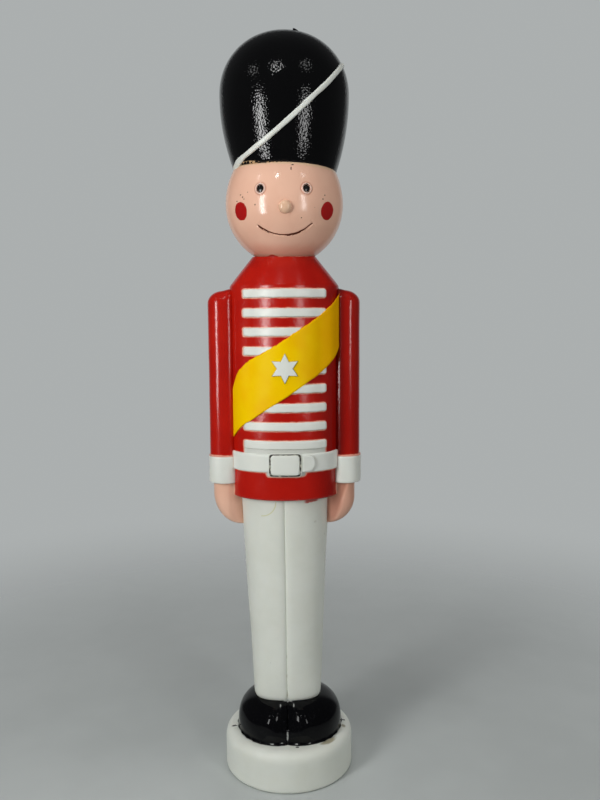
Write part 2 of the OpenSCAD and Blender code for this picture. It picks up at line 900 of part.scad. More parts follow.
base();
left_shoe();
right_shoe();
left_trouser_leg();
right_trouser_leg();
coat();
belt();
belt_buckle();
belt_tongue();
chest_bar(1);  // chest_bar_1
chest_bar(2);  // chest_bar_2
chest_bar(3);  // chest_bar_3
chest_bar(4);  // chest_bar_4
chest_bar(5);  // chest_bar_5
chest_bar(6);  // chest_bar_6
chest_bar(7);  // chest_bar_7
chest_bar(8);  // chest_bar_8
chest_bar(9);  // chest_bar_9
sash();
sash_star();
left_sleeve();
right_sleeve();
left_cuff();
right_cuff();
left_hand();
right_hand();
head();
eye(1);  // left_eye
eye(-1);  // right_eye
cheek(1);  // left_cheek
cheek(-1);  // right_cheek
smile_line();
hat();
hat_strap();
lamp_holder();
lamp_socket();
socket_contact();
bulb_cap();
bulb_glass();
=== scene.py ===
import math

import bmesh
import bpy
import numpy as np
from mathutils import Matrix, Vector


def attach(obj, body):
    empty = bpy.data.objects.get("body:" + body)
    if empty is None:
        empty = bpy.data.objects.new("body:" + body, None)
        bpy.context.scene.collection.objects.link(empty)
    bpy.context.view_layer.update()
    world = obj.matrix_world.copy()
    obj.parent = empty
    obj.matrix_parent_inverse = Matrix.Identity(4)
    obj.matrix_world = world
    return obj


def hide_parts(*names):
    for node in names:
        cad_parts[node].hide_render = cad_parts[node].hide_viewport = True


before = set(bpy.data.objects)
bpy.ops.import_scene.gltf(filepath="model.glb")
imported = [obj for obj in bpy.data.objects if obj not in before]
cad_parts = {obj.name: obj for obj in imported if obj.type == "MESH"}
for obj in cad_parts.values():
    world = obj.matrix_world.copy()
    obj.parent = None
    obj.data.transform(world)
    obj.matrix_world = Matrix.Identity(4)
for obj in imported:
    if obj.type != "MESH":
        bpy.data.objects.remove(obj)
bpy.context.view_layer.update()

scene = bpy.context.scene

# Lengths are millimetres in the part's own frame. Camera, lamps, floor and materials are in metres.
MM = 0.001


def add(name, data):
    """A new object in the scene."""
    made = bpy.data.objects.new(name, data)
    scene.collection.objects.link(made)
    return made


# ---- camera

cam_data = bpy.data.cameras.new("camera")
cam_data.lens, cam_data.sensor_width, cam_data.clip_start = 34.11, 36.0, 0.01
camera = add("camera", cam_data)
pitch, roll = (Matrix.Rotation(math.radians(a), 4, axis) for a, axis in ((84.0, "X"), (-0.34, "Z")))
camera.matrix_world = Matrix.Translation((0.0137, -0.71446, 0.4335)) @ pitch @ roll
scene.camera = camera


# ---- sizes of the part, most of them as in its source

BASE_R, BASE_H, WALL = 60.7, 38.5, 2.0
TOP_HOLE_R, FOOT_R, SEAT_R, RECESS_Z, SEAT_TOP_Z = 28.0, 47.7, 17.5, 12.0, 20.0
SHOE_A, SHOE_HALF, SHOE_FRONT, SHOE_BACK, SHOE_RISE, SHOE_E = 49.5, 50.6, 44.5, 41.0, 35.5, 3.2
LEG_LOW_Z, LEG_HIGH_Z = 70.6, 270.6
HEM_Z, SKIRT_Z, SHOULDER_Z = 72.0, 270.0, 465.0
COLLAR_Z, COLLAR_R, COLLAR_DEEP, COLLAR_DROP = 492.4, 29.2, 26.4, 1.9
COAT_A, COAT_B, COAT_E, CHEST_E = 51.0, 40.0, 2.1, 1.74
BELT_Z, BELT_TOP_Z = 296.5, 313.3
BUCKLE_HALF, BUCKLE_Z, BUCKLE_TOP_Z = 15.2, 292.9, 314.2
BAR_Z = [456.2 - 16.8 * k + rise for k, rise in enumerate((1.4, 0.9, 0.6, 0.1, 0, 0, -0.3, -0.5, -0.5))]
BAR_HALF, BAR_TALL, BAR_CORNER = 37.5, 3.9, 2.0
SASH_Z, SASH_LEAN, STAR_R, STAR_WAIST = 390.3, 0.86, 13.2, 0.53
ARM_X, ARM_A, ARM_B, ARM_LIMIT, CUFF_Z = 56.4, 14.0, 18.0, 71.2, 282.0
HEAD_Z, HEAD_R, HEAD_CROWN = 538.84, 54.0, 60.0
HEAD_LOW_Z, HEAD_LOW_R, HEAD_TOP_R = 489.2, 21.0, 46.5
EYE_TURN, CHEEK_TURN, EYE_RISE, CHEEK_RISE = 21.8, 46.0, 7.2, -10.2
SMILE_R, SMILE_HALF, SMILE_X, SMILE_Z = 34.4, 44.0, 0.5, 2.8
NOSE_X, NOSE_Z, NOSE_R = 1.6, -8.6, 5.6
BRIM_Z, BRIM_R, HAT_R, HAT_H, HAT_E = 569.8, 46.8, 58.9, 120.2, 2.11
HAT_BELLY = HAT_H * 0.538
HALF_WIDTH = 72.4
LEG_SIZES = (64.6, 84.0), (52.0, 67.0)  # width, then depth, each at the hem and at the skirt
# The edge and the underside of a relief lie this far inside the coat
EDGE_OUT, UNDER_OUT = -0.35, -0.9

# The moulding isn't quite straight: how far each form sits to one side of the middle, and how far it is turned
LEAN = {"hat": 1.0, "head": 0.4, "smile": 0.4, "left_eye": 0.4, "right_eye": 0.4, "left_cheek": 0.4,
        "right_cheek": 0.4, "chest": 0.4, "sash": 0.4, "belt_buckle": 0.0, "belt_tongue": 0.6, "belt": -0.3,
        "coat": -0.4, "left_sleeve": -0.4, "right_sleeve": -0.6, "left_cuff": -1.0, "right_cuff": -1.0,
        "left_hand": -1.9, "right_hand": -1.7, "left_shoe": 0.3, "right_shoe": 0.3}
SMILE_TILT, EYES_TURN, CHEEKS_TURN = 1.8, 0.2, 0.6
SIDES = (1, "left"), (-1, "right")


# ---- materials

def linear(colour):
    """The colour that a shader takes for one as seen on screen, 0 to 255. A socket or linear colour stays."""
    if not isinstance(colour, tuple) or len(colour) == 4:
        return colour
    shares = (c / 255.0 for c in colour)
    return (*(c / 12.92 if c <= 0.04045 else ((c + 0.055) / 1.055) ** 2.4 for c in shares), 1.0)


def put(socket, value):
    """Links another node's output to a socket, or sets the socket's own value."""
    if isinstance(value, bpy.types.NodeSocket):
        socket.id_data.links.new(value, socket)
    else:
        socket.default_value = value


def new_node(tree, kind, inputs=None, **settings):
    """A shader node with its settings, and values or links for its inputs, by name or number."""
    made = tree.nodes.new("ShaderNode" + kind)
    for key, value in settings.items():
        setattr(made, key, value)
    for key, value in (inputs or {}).items():
        put(made.inputs[key], value)
    return made


class Finish:
    """A material under construction, with short names for its nodes. Its slot is the name's first two words."""

    def __init__(self, name):
        self.material, self.slot = bpy.data.materials.new(name), "_".join(name.split("_")[:2])
        self.material.use_nodes = True
        self.tree = self.material.node_tree
        self.tree.nodes.clear()
        self.out, self.shader = self.node("OutputMaterial"), self.node("BsdfPrincipled")
        put(self.out.inputs["Surface"], self.shader.outputs[0])
        self.where = self.node("TexCoord").outputs["Object"]

    def node(self, *what, **settings):
        return new_node(self.tree, *what, **settings)

    def set(self, **values):
        """Values or links for the shader's sockets, with _ for a space. Returns material and slot."""
        for key, value in values.items():
            put(self.shader.inputs[key.replace("_", " ")], value)
        return self.material, self.slot

    def noise(self, scale, detail=2.0, roughness=0.5, at=None):
        inputs = {"Vector": at or self.where, "Scale": scale, "Detail": detail, "Roughness": roughness}
        return self.node("TexNoise", inputs).outputs["Fac"]

    def attribute(self, name):
        return self.node("Attribute", attribute_name=name).outputs["Fac"]

    def span(self, value, low, high, a=0.0, b=1.0):
        """Smooth step from a, where the value is low, to b, where it is high."""
        inputs = {"Value": value, "From Min": low, "From Max": high, "To Min": a, "To Max": b}
        return self.node("MapRange", inputs, interpolation_type="SMOOTHSTEP").outputs[0]

    def math(self, kind, a, b=0.0):
        return self.node("Math", {0: a, 1: b}, operation=kind).outputs[0]

    def plus(self, a, b):
        return self.math("ADD", a, b)

    def minus(self, a, b):
        return self.math("SUBTRACT", a, b)

    def times(self, a, b):
        return self.math("MULTIPLY", a, b)

    def mix(self, share, a, b):
        return self.node("Mix", {0: share, 6: linear(a), 7: linear(b)}, data_type="RGBA").outputs[2]

    def cells(self, scale):
        return self.node("TexVoronoi", {"Vector": self.where, "Scale": scale}).outputs

    def specks(self, scale, size, share):
        """Sparse round specks: 1 inside a speck. scale is cells per metre, share how many cells hold one."""
        cells = self.cells(scale)
        chance = self.node("SeparateColor", {0: cells["Color"]}).outputs
        near = self.span(cells["Distance"], 0.0, self.times(chance[1], size * scale), 1.0, 0.0)
        return self.times(self.math("LESS_THAN", chance[0], share), self.span(near, 0.15, 0.45))

    def arc(self, x, z, radius):
        """Share of a thin thread: the lower right quarter of a circle seen from the front, in millimetres."""
        at = self.node("SeparateXYZ", {0: self.where}).outputs
        across, down = self.minus(at["X"], x * MM), self.minus(z * MM, at["Z"])
        reach = self.math("SQRT", self.plus(self.times(across, across), self.times(down, down)))
        line = self.span(self.math("ABSOLUTE", self.minus(reach, radius * MM)), 0.0002, 0.0007, 0.65, 0.0)
        right, below = self.math("GREATER_THAN", across, 0.0), self.math("GREATER_THAN", down, 0.0)
        return self.times(line, self.times(right, below))

    def bump(self, height, distance, under=None):
        inputs = {"Distance": distance, "Height": height}
        if under is not None:
            inputs["Normal"] = under
        return self.node("Bump", inputs).outputs[0]

    def blot(self, base, field, noise, amount, low, high, colour, most=1.0):
        """A field's colour over the base, with an edge that noise breaks up."""
        share = self.plus(self.attribute(field), self.times(noise, amount))
        return self.mix(self.span(share, low, high, 0.0, most), base, colour)


def plastic(name, colour, shade, rough, grime=(148, 138, 104), specks=0.012, deep=0.1, thread=None):
    """Bare polyethylene: mottled, a little dirty and darkened by painted shade where the mesh says so, with black marks
    and painted shadow lines, fine grain and slight waves.
    """
    f = Finish(name)
    mottle = f.span(f.noise(22, 4, 0.6), 0.35, 0.72)
    base = f.mix(f.times(mottle, 0.55), colour, shade)
    # Grime and painted shade, in one dull colour
    base = f.blot(base, "grime", f.noise(260, 4, 0.65), 0.75, 0.68, 1.45, grime, 0.8)
    base = f.mix(f.span(f.attribute("pink"), 0.15, 0.85, 0.0, 0.85), base, (216, 128, 104))
    base = f.mix(f.span(f.attribute("scuff"), 0.15, 0.85, 0.0, 0.9), base, (186, 52, 36))
    # Black paint, and painted shadow lines
    base = f.blot(base, "ink", f.noise(700, 3, 0.7), 0.8, 0.92, 1.1, (22, 20, 18))
    base = f.mix(f.times(f.specks(190, 0.0011, specks), 0.75), base, (70, 58, 40))
    if thread:
        base = f.mix(f.arc(*thread), base, (206, 206, 138))
    grain = f.bump(f.noise(420, 3, 0.6), 0.00003)
    waves = f.bump(f.noise(48), 0.00022, grain)
    f.set(Base_Color=base, Roughness=f.span(f.noise(120, 3), 0.2, 0.8, rough - 0.05, rough + 0.08), Normal=waves)
    return f.set(IOR=1.5, Subsurface_Weight=deep, Subsurface_Radius=(1.0, 0.85, 0.7), Subsurface_Scale=0.003)


def paint(name, colour, shade, rough, peel, bare=(214, 216, 208), mist=(206, 92, 74), specks=0.0,
          speck_colour=(90, 60, 40), ragged=0.9, gloss=0.5, tints=(), dimples=None, fringe=None):
    """Sprayed paint on the shell: orange peel, colour that thins at the mask's edges, and unpainted shell past them.

    peel and dimples are each a scale in cells per metre and a depth in metres. tints are fields with colours, painted
    shade among them. The colour past the mask's edge also paints highlights where a mesh asks for it.
    """
    f = Finish(name)
    base = f.mix(f.span(f.noise(30, 3, 0.55), 0.3, 0.75), colour, shade)
    for field, tint in tints:
        base = f.mix(f.attribute(field), base, tint)
    edge = f.plus(f.attribute("bare"), f.times(f.minus(f.noise(420, 3, 0.6), 0.5), ragged))
    base = f.mix(f.span(edge, -0.65, 0.1, 0.0, 0.9), base, mist)
    lost = f.span(edge, 0.0, 0.3)
    base = f.mix(lost, base, fringe or bare)
    if fringe:
        base = f.mix(f.span(edge, 0.9, 1.3), base, bare)
    # Black paint, and painted shadow lines
    base = f.blot(base, "ink", f.noise(700, 3, 0.7), 0.8, 0.92, 1.1, (24, 20, 18))
    if specks:
        base = f.mix(f.times(f.specks(170, 0.0013, specks), 0.8), base, speck_colour)
    fine = f.bump(f.noise(peel[0], 2, 0.55), peel[1])
    if dimples:
        # Bowls packed side by side, as on coarse sprayed paint, each of which holds its own small glint
        away = f.cells(dimples[0])["Distance"]
        fine = f.bump(f.times(away, away), dimples[1], fine)
    wavy = f.bump(f.noise(46), 0.00016, fine)
    glossy = f.span(f.noise(150, 3), 0.2, 0.8, rough - 0.03, rough + 0.05)
    return f.set(Base_Color=base, Roughness=f.plus(glossy, f.times(lost, 0.12)), Normal=wavy, IOR=1.5,
                 Specular_IOR_Level=gloss)


IVORY = (233, 236, 226), (222, 225, 212), 0.44
RED = (190, 26, 12), (180, 20, 10)
RED_FRINGE = (234, 166, 144)
ivory = plastic("ivory_shell", *IVORY, deep=0.12)
ivory_hair = plastic("ivory_shell_thread", *IVORY, deep=0.12, thread=(-22.8, 267.5, 13.7))
white = plastic("white_shell", (234, 237, 229), (226, 229, 218), 0.34, specks=0.006)
# The tint given to each red and to the yellow is painted shade, darker on the figure's left side, where less lamp light
# falls
red = paint("red_paint", *RED, 0.17, (520, 0.00009), tints=(("dusk", (98, 6, 4)),), fringe=RED_FRINGE)
red_coat = paint("red_paint_coat", *RED, 0.2, (400, 0.00016), gloss=0.42, tints=(("dusk", (142, 14, 8)),),
                 fringe=RED_FRINGE)
yellow = paint("yellow_paint", (255, 210, 0), (252, 194, 0), 0.36, (520, 0.00004), bare=(214, 96, 30),
               mist=(236, 150, 10), gloss=0.05, tints=(("dusk", (206, 130, 0)),))
# The first flesh tint is red overspray and painted shade; the second is a worn tan
flesh = paint("flesh_paint", (248, 199, 172), (242, 190, 163), 0.15, (380, 0.000012), bare=(206, 30, 18),
              mist=(214, 110, 84), specks=0.03, speck_colour=(150, 96, 66),
              tints=(("blush", (176, 96, 74)), ("tan", (230, 196, 158))))
black = paint("black_paint", (6, 6, 7), (8, 8, 9), 0.055, (420, 0.00005), bare=(205, 170, 128),
              mist=(50, 40, 32), gloss=0.4, dimples=(650, 0.000112))
# Its colour past the mask also paints the shoes' highlights
shoe_black = paint("black_paint_shoes", (6, 6, 8), (9, 9, 11), 0.07, (300, 0.00003), bare=(158, 160, 156),
                   mist=(40, 40, 42), gloss=0.14)
cheek_red = paint("cheek_paint", (180, 22, 20), (170, 18, 16), 0.22, (420, 0.00002), mist=(200, 70, 60))
eye_flesh = paint("eye_paint", (236, 184, 162), (230, 177, 155), 0.2, (380, 0.00001), bare=(246, 224, 208),
                  mist=(246, 218, 202), ragged=0.4)
smile_dark = paint("smile_paint", (104, 40, 20), (68, 28, 14), 0.5, (600, 0.00003), bare=(176, 96, 70),
                   mist=(120, 60, 44), gloss=0.1)


# ---- mesh helpers

def lumps(points, size, seed):
    """Smooth noise of about one size, roughly between -1 and 1, at an array of points."""
    dice, count = np.random.default_rng(seed), 14
    waves = dice.normal(size=(count, points.shape[-1]))
    waves *= 2 * np.pi / size * dice.uniform(0.6, 1.5, (count, 1)) / np.linalg.norm(waves, axis=1, keepdims=True)
    return np.sin(points @ waves.T + dice.uniform(0, 2 * np.pi, count)).mean(-1) * 2.4


def ripples(a, b, size, seed):
    """The same noise over two coordinates."""
    return lumps(np.stack(np.broadcast_arrays(a, b), -1), size, seed)


def smooth(low, high, v):
    t = np.clip((v - low) / (high - low), 0, 1)
    return t * t * (3 - 2 * t)


def bell(v, width):
    return np.exp(-(v / width) ** 2)


def place(x, y, z):
    """Points from their coordinates, each an array or a number."""
    return np.stack(np.broadcast_arrays(x, y, z), -1)


def unit(v):
    return v / np.linalg.norm(v, axis=-1, keepdims=True)


def xyz(points):
    """The three coordinates of an array of points, as views of it."""
    return np.moveaxis(points, -1, 0)


def grid_faces(columns, rows, around=False, closed=False, first=0):
    """Quads of a grid whose vertices run row by row."""
    i, j = np.meshgrid(np.arange(columns if around else columns - 1), np.arange(rows if closed else rows - 1))
    right, up = (i + 1) % columns, (j + 1) % rows
    corners = [j * columns + i, j * columns + right, up * columns + right, up * columns + i]
    return (np.stack(corners, -1).reshape(-1, 4) + first).tolist()


def solid_mesh(name, points, faces, fields):
    """A mesh in metres with its faces turned outwards and its fields as attributes."""
    mesh = bpy.data.meshes.new(name)
    mesh.from_pydata((points * MM).tolist(), [], faces)
    for key, values in fields.items():
        values = np.broadcast_to(values, len(points)).astype(np.float32)
        mesh.attributes.new(key, "FLOAT", "POINT").data.foreach_set("value", values)
    work = bmesh.new()
    work.from_mesh(mesh)
    bmesh.ops.recalc_face_normals(work, faces=work.faces)
    work.to_mesh(mesh)
    work.free()
    return mesh


def smooth_shade(mesh, sharp):
    """Smooth shading, except at edges sharper than an angle."""
    mesh.shade_smooth()
    mesh.set_sharp_from_angle(angle=math.radians(sharp))


def piece(name, points, faces, finish, node=None, sharp=60, **fields):
    """A finished piece: a closed mesh in its place. It replaces the node given, or else the one in its name."""
    known = [key for key in LEAN if name.startswith(key)]
    if known:
        points[:, 0] = np.clip(points[:, 0] + LEAN[max(known, key=len)], -HALF_WIDTH, HALF_WIDTH)
    mesh = solid_mesh(name, points, faces, fields)
    smooth_shade(mesh, sharp)
    made = add(name, mesh)
    material, slot = finish
    mesh.materials.append(material)
    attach(made, "figure")
    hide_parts(node or name.removesuffix("_form"))
    return made


def spread(options, shape, rest):
    """Turns the fields among a piece's options from a grid's shape to its points, rest being the further ones."""
    for key in options.keys() - {"sharp"}:
        field = np.broadcast_to(options[key], shape).reshape(-1)
        options[key] = np.concatenate([field, rest(field)])
    return options


def tube(name, rings, finish, node=None, **options):
    """Closed solid through closed rings, with a fan over each end."""
    rings = np.array(rings)
    rows, columns = rings.shape[:2]
    points = np.concatenate([rings.reshape(-1, 3), rings[0].mean(0)[None], rings[-1].mean(0)[None]])
    faces = grid_faces(columns, rows, around=True)
    low, high, top = rows * columns, rows * columns + 1, (rows - 1) * columns
    for i in range(columns):
        faces += [[low, (i + 1) % columns, i], [high, top + i, top + (i + 1) % columns]]
    return piece(name, points, faces, finish, node, **spread(options, (rows, columns), lambda f: f[[0, -1]]))


def slab(name, top, bottom, finish, node=None, **options):
    """Closed solid between two grids of the same shape."""
    rows, columns = top.shape[:2]
    count = rows * columns
    points = np.concatenate([top.reshape(-1, 3), bottom.reshape(-1, 3)])
    faces = grid_faces(columns, rows) + grid_faces(columns, rows, first=count)
    index = np.arange(count).reshape(rows, columns)
    rim = np.concatenate([index[0, :-1], index[:-1, -1], index[-1, :0:-1], index[:0:-1, 0]])
    after = np.roll(rim, -1)
    faces += np.stack([rim, after, after + count, rim + count], -1).tolist()
    return piece(name, points, faces, finish, node, **spread(options, (rows, columns), lambda f: f))


def oval(a, b, e, angles):
    """Points of an oval, counted from the front; angles in radians."""
    x, y = (np.sign(v) * np.abs(v) ** (2 / e) for v in (np.sin(angles), np.cos(angles)))
    return a * x, -b * y


def circle(count, first=-np.pi):
    """Angles all round."""
    return np.linspace(first, first + 2 * np.pi, count, endpoint=False)


def turned(radius, z, angles):
    """Rings about Z, each with its radius and height, counted from the front."""
    r = radius[:, None]
    return place(r * np.sin(angles), -r * np.cos(angles), z[:, None])


def rounded_polygon(points, radii, steps):
    """Corners of a closed outline turned into arcs."""
    out, count = [], len(points)
    for k, r in enumerate(radii):
        p, a, b = (np.array(points[j % count], float) for j in (k, k - 1, k + 1))
        u, v = unit(a - p), unit(b - p)
        half = math.acos(np.clip(u @ v, -1, 1)) / 2
        reach = min(r / math.tan(half), *(0.49 * np.linalg.norm(q - p) for q in (a, b)))
        start, end = p + u * reach, p + v * reach
        out += [(1 - s) ** 2 * start + 2 * s * (1 - s) * p + s * s * end for s in np.linspace(0, 1, steps + 1)]
    return np.array(out)


def divided(outline, parts_of):
    """Closed outline with each side cut into parts."""
    out = []
    for a, b in zip(outline, np.roll(outline, -1, axis=0)):
        parts = max(1, int(parts_of(a, b)))
        out += [a + (b - a) * s / parts for s in range(parts)]
    return np.array(out)


def curve(px, pz, x):
    """Smooth curve through a few points, for any x between them."""
    slope = np.gradient(pz, px)
    k = np.clip(np.searchsorted(px, x) - 1, 0, len(px) - 2)
    h = px[k + 1] - px[k]
    t = (x - px[k]) / h
    return ((2 * t ** 3 - 3 * t ** 2 + 1) * pz[k] + (t ** 3 - 2 * t ** 2 + t) * h * slope[k]
            + (-2 * t ** 3 + 3 * t ** 2) * pz[k + 1] + (t ** 3 - t ** 2) * h * slope[k + 1])


# ---- surfaces that others lie on

def front_depth(x, z, out):
    """How far forward the coat lies: an oval at the hem, rounder in the middle of the chest."""
    u = np.clip(np.abs(x) / (COAT_A + out), 0, 0.9999)
    plain, chest = ((1 - u ** e) ** (1 / e) for e in (COAT_E, CHEST_E))
    share = smooth(325, 400, z) * smooth(47, 30, np.abs(x))
    return (COAT_B + out) * (plain + (chest - plain) * share)


def skin(x, z, out):
    """Front of the coat, or of a relief standing out from it, at a place seen from the front."""
    return place(x, -front_depth(x, z, out), z)


def head_radius(z):
    """Radius of the head at a height over its middle."""
    low = np.sqrt(np.maximum(HEAD_R ** 2 - z ** 2, 1))
    high = HEAD_R * np.sqrt(np.maximum(1 - (z / HEAD_CROWN) ** 2, 1e-4))
    return np.where(z < 0, low, high)


def head_point(direction, out):
    """Where a ray from the head's middle leaves the head, and a little further out."""
    d = unit(direction)
    x, y, z = xyz(d)
    tall = np.where(z > 0, HEAD_CROWN, HEAD_R)
    reach = 1 / np.sqrt((x ** 2 + y ** 2) / HEAD_R ** 2 + z ** 2 / tall ** 2) + out
    return d * reach[..., None] + (0, 0, HEAD_Z)


def on_face(turn, rise):
    """Middle direction of a mark on the head, with its sideways and upward directions."""
    a, t = math.asin(rise / HEAD_R), math.radians(turn)
    n = np.array([math.sin(t) * math.cos(a), -math.cos(t) * math.cos(a), math.sin(a)])
    side = unit(np.cross((0, 0, 1), n))
    return n, side, np.cross(n, side)


def brim_drop(x):
    """How much lower than level the brim sits: the hat is a little askew."""
    return 1.6 + 0.034 * x


def hat_radius(z):
    """Radius of the hat at a height."""
    h = z - BRIM_Z
    u = np.clip(h / HAT_BELLY, 0, 1)
    v = np.clip((h - HAT_BELLY) / (HAT_H - HAT_BELLY), 0, 1)
    low, high = HAT_R - (HAT_R - BRIM_R) * (1 - u) ** 2, HAT_R * (1 - v ** HAT_E) ** (1 / HAT_E)
    return np.where(h < HAT_BELLY, low, high)


def near_brim(z):
    """1 at the brim, down to 0 well above it."""
    return smooth(BRIM_Z + 50, BRIM_Z, z)


# ---- base

def cutter(radius, low_y, high_y, low_z=-math.inf):
    """Bar along Y at the base's foot, round, or flat below low_z."""
    turn = circle(48, 0) + 0.05
    x, z = radius * np.sin(turn), np.maximum(radius * np.cos(turn), low_z)
    n = len(turn)
    faces = grid_faces(n, 2, around=True) + [list(range(n)), list(range(2 * n - 1, n - 1, -1))]
    return add("cutter", solid_mesh("cutter", np.concatenate([place(x, y, z) for y in (low_y, high_y)]), faces, {}))


def boolean(target, other, kind):
    """Applies one boolean to a mesh and takes the other object away."""
    step = target.modifiers.new("cut", "BOOLEAN")
    step.object, step.operation, step.solver = other, kind, "EXACT"
    bpy.context.view_layer.update()
    done = bpy.data.meshes.new_from_object(target.evaluated_get(bpy.context.evaluated_depsgraph_get()))
    target.modifiers.clear()
    old, target.data = target.data, done
    bpy.data.meshes.remove(old)
    bpy.data.objects.remove(other)


section = rounded_polygon(
    [(TOP_HOLE_R, BASE_H), (BASE_R, BASE_H), (BASE_R, 0), (FOOT_R, 0), (FOOT_R, RECESS_Z), (SEAT_R, RECESS_Z),
     (SEAT_R, SEAT_TOP_Z), (SEAT_R + WALL, SEAT_TOP_Z), (SEAT_R + WALL, RECESS_Z + WALL),
     (FOOT_R + WALL, RECESS_Z + WALL), (FOOT_R + WALL, WALL), (BASE_R - WALL, WALL), (BASE_R - WALL, BASE_H - WALL),
     (TOP_HOLE_R, BASE_H - WALL)],
    [0.3, 10.5, 4.0, 1.0, 1.2, 0.8, 0.4, 0.4, 0.6, 0.4, 0.4, 2.0, 8.5, 0.3], 9)
outline = divided(section, lambda a, b: np.linalg.norm(b - a) / (1.0 if min(a[1], b[1]) > 37 else 3.0))
turn = circle(240, 0)
base = turned(*outline.T, turn).reshape(-1, 3)
x, y, z = xyz(base)
radius = np.hypot(x, y)
dent = 0.14 * (lumps(base, 34, 5) - 0.8) * (smooth(46, 54, radius) * smooth(-0.5, 1.5, z))
base[:, :2] *= (1 + dent / np.maximum(radius, 1))[:, None]
# Dirt and painted shade round the shoes, more towards the figure's left, painted shade at the foot, the rust stain
# beside the left shoe, and three drips of black paint
shoe_edge = np.hypot(x / SHOE_A, y / SHOE_FRONT)
near_shoe = np.exp(-np.maximum(shoe_edge - 1, 0) / 0.035) * (z > 37)
patchy = 0.35 + 0.65 * smooth(0.1, 0.9, lumps(base, 26, 12) + 0.55 * x / 60)
stain = np.maximum(np.exp(-((shoe_edge - 1.12) / 0.045) ** 2 - ((x - 37) / 7.0) ** 2),
                   0.8 * np.exp(-((x - 52.7) / 1.5) ** 2 - ((y + 8.9) / 3.0) ** 2))
stain *= (z > 36) * (y < 0) * (x > 20)
grime = near_shoe * patchy * 0.8 + 0.3 * smooth(4, 0, z) + 1.9 * stain
dashes = 0 * x
for at_x, at_y, wide in ((-52.4, -7.7, 3.4), (53.2, 2.0, 1.8), (9.0, -47.0, 1.8)):
    dashes = np.maximum(dashes, np.clip(1.6 - np.hypot((x - at_x) / wide, (y - at_y) / 1.1), 0, 1))
grow = smooth(42, 56, radius)
x[:] = x * (1 + 0.02 * grow) + 0.9 * grow
faces = grid_faces(len(turn), len(outline), around=True, closed=True)
base_form = piece("base_form", base, faces, ivory, sharp=50, grime=grime, ink=dashes * (z > 33))
boolean(base_form, cutter(6.5, 48.6, 59.6, low_z=0.6), "UNION")
boolean(base_form, cutter(4.5, 44.0, 64.0), "DIFFERENCE")
smooth_shade(base_form.data, 50)


# ---- shoes

def shoe_rows(out, top):
    """Grid of one shoe's surface on the +X side, from the front crease round to the back one."""
    rows = []
    t = np.linspace(0, np.pi, 121)
    t = t - 0.18 * np.sin(2 * t)
    for h in np.concatenate([[0.0, 0.2, 0.45, 0.7, 1.0, 1.3, 1.7, 2.2, 2.8, 3.6], np.linspace(4.5, top, 38)]):
        full = SHOE_RISE + out
        shrink = (1 - (min(h, full - 0.01) / full) ** SHOE_E) ** (1 / SHOE_E)
        a, front, back = ((v + out) * shrink for v in (SHOE_HALF, SHOE_FRONT, SHOE_BACK))
        ratio = 0.253 + (0.45 - 0.253) * float(smooth(0, 23, h))
        c = a * ratio / (1 + ratio)
        w = a - c
        start = math.asin(-c / w)
        s = start + (np.pi - 2 * start) * (t / np.pi)
        x, ahead = c + w * np.sin(s), np.cos(s)
        lobe = 2.5 * bell(x - c, 8.4) * float(smooth(2, 13, h)) * (ahead > 0.3)
        y = -np.where(ahead > 0, front, back) * ahead - lobe
        ridge = float(smooth(1.5, 3, h) * smooth(15, 12, h))
        crease = 0.45 * np.exp(-x / 0.7) * (1 - ridge) - 0.8 * ridge * bell(x, 1.0) * (ahead > 0)
        y = y - np.sign(y) * crease
        if out == 0:
            bead = 1.5 * math.exp(-((h - 1.1) / 1.2) ** 2) * (0.6 + 0.6 * ripples(x, y, 9, 24))
            x, y = x * (1 + bead / SHOE_A), y * (1 + bead / SHOE_FRONT)
        rows.append(place(np.maximum(x, 0.05), y, BASE_H + h))
    return np.array(rows)


# Painted highlights on the shoes, in the pale colour of bare shell, for the glints on the paint bead at the foot and on
# top by the legs: x, height, half width, half height
GLINTS = [(-15.3, 1.9, 3.0, 0.8), (-5.4, 2.6, 2.2, 0.7), (8.1, 2.0, 2.4, 0.7), (19.9, 1.9, 2.0, 0.6),
          (-7.0, 32.2, 0.9, 1.3), (5.6, 32.2, 0.9, 1.3)]
for side, word in SIDES:
    outer, inner = shoe_rows(0.0, 34.7), shoe_rows(-WALL, 32.7)
    outer[..., :2] *= (1 + 0.0035 * lumps(outer + side * 7, 22, 21))[..., None]
    x, y, z = xyz(outer)
    h = z - BASE_H
    rim = -0.25 - (np.hypot(x / 33.0, y / 26.8) - 0.96) * 30 + 0.3 * lumps(outer, 9, 25)
    # Painted highlights: a pale line along the crease's ridge and pale spots at the listed places
    glint = bell(x, 1.1) * smooth(3.5, 5, h) * smooth(14, 11, h)
    for at_x, at_h, wide, tall in GLINTS:
        glint = np.maximum(glint, bell(np.hypot((x * side - at_x) / wide, (h - at_h) / tall), 1))
    rim = np.maximum(rim, np.where(y < -20, 1.5 * glint - 0.8, -3))
    for grid in (outer, inner):
        grid[..., 0] *= side * (1.028 if side > 0 else 0.971)
    slab(word + "_shoe_form", outer, inner, shoe_black, bare=np.clip(rim, -3, 1) * 0.8)


# ---- trouser legs

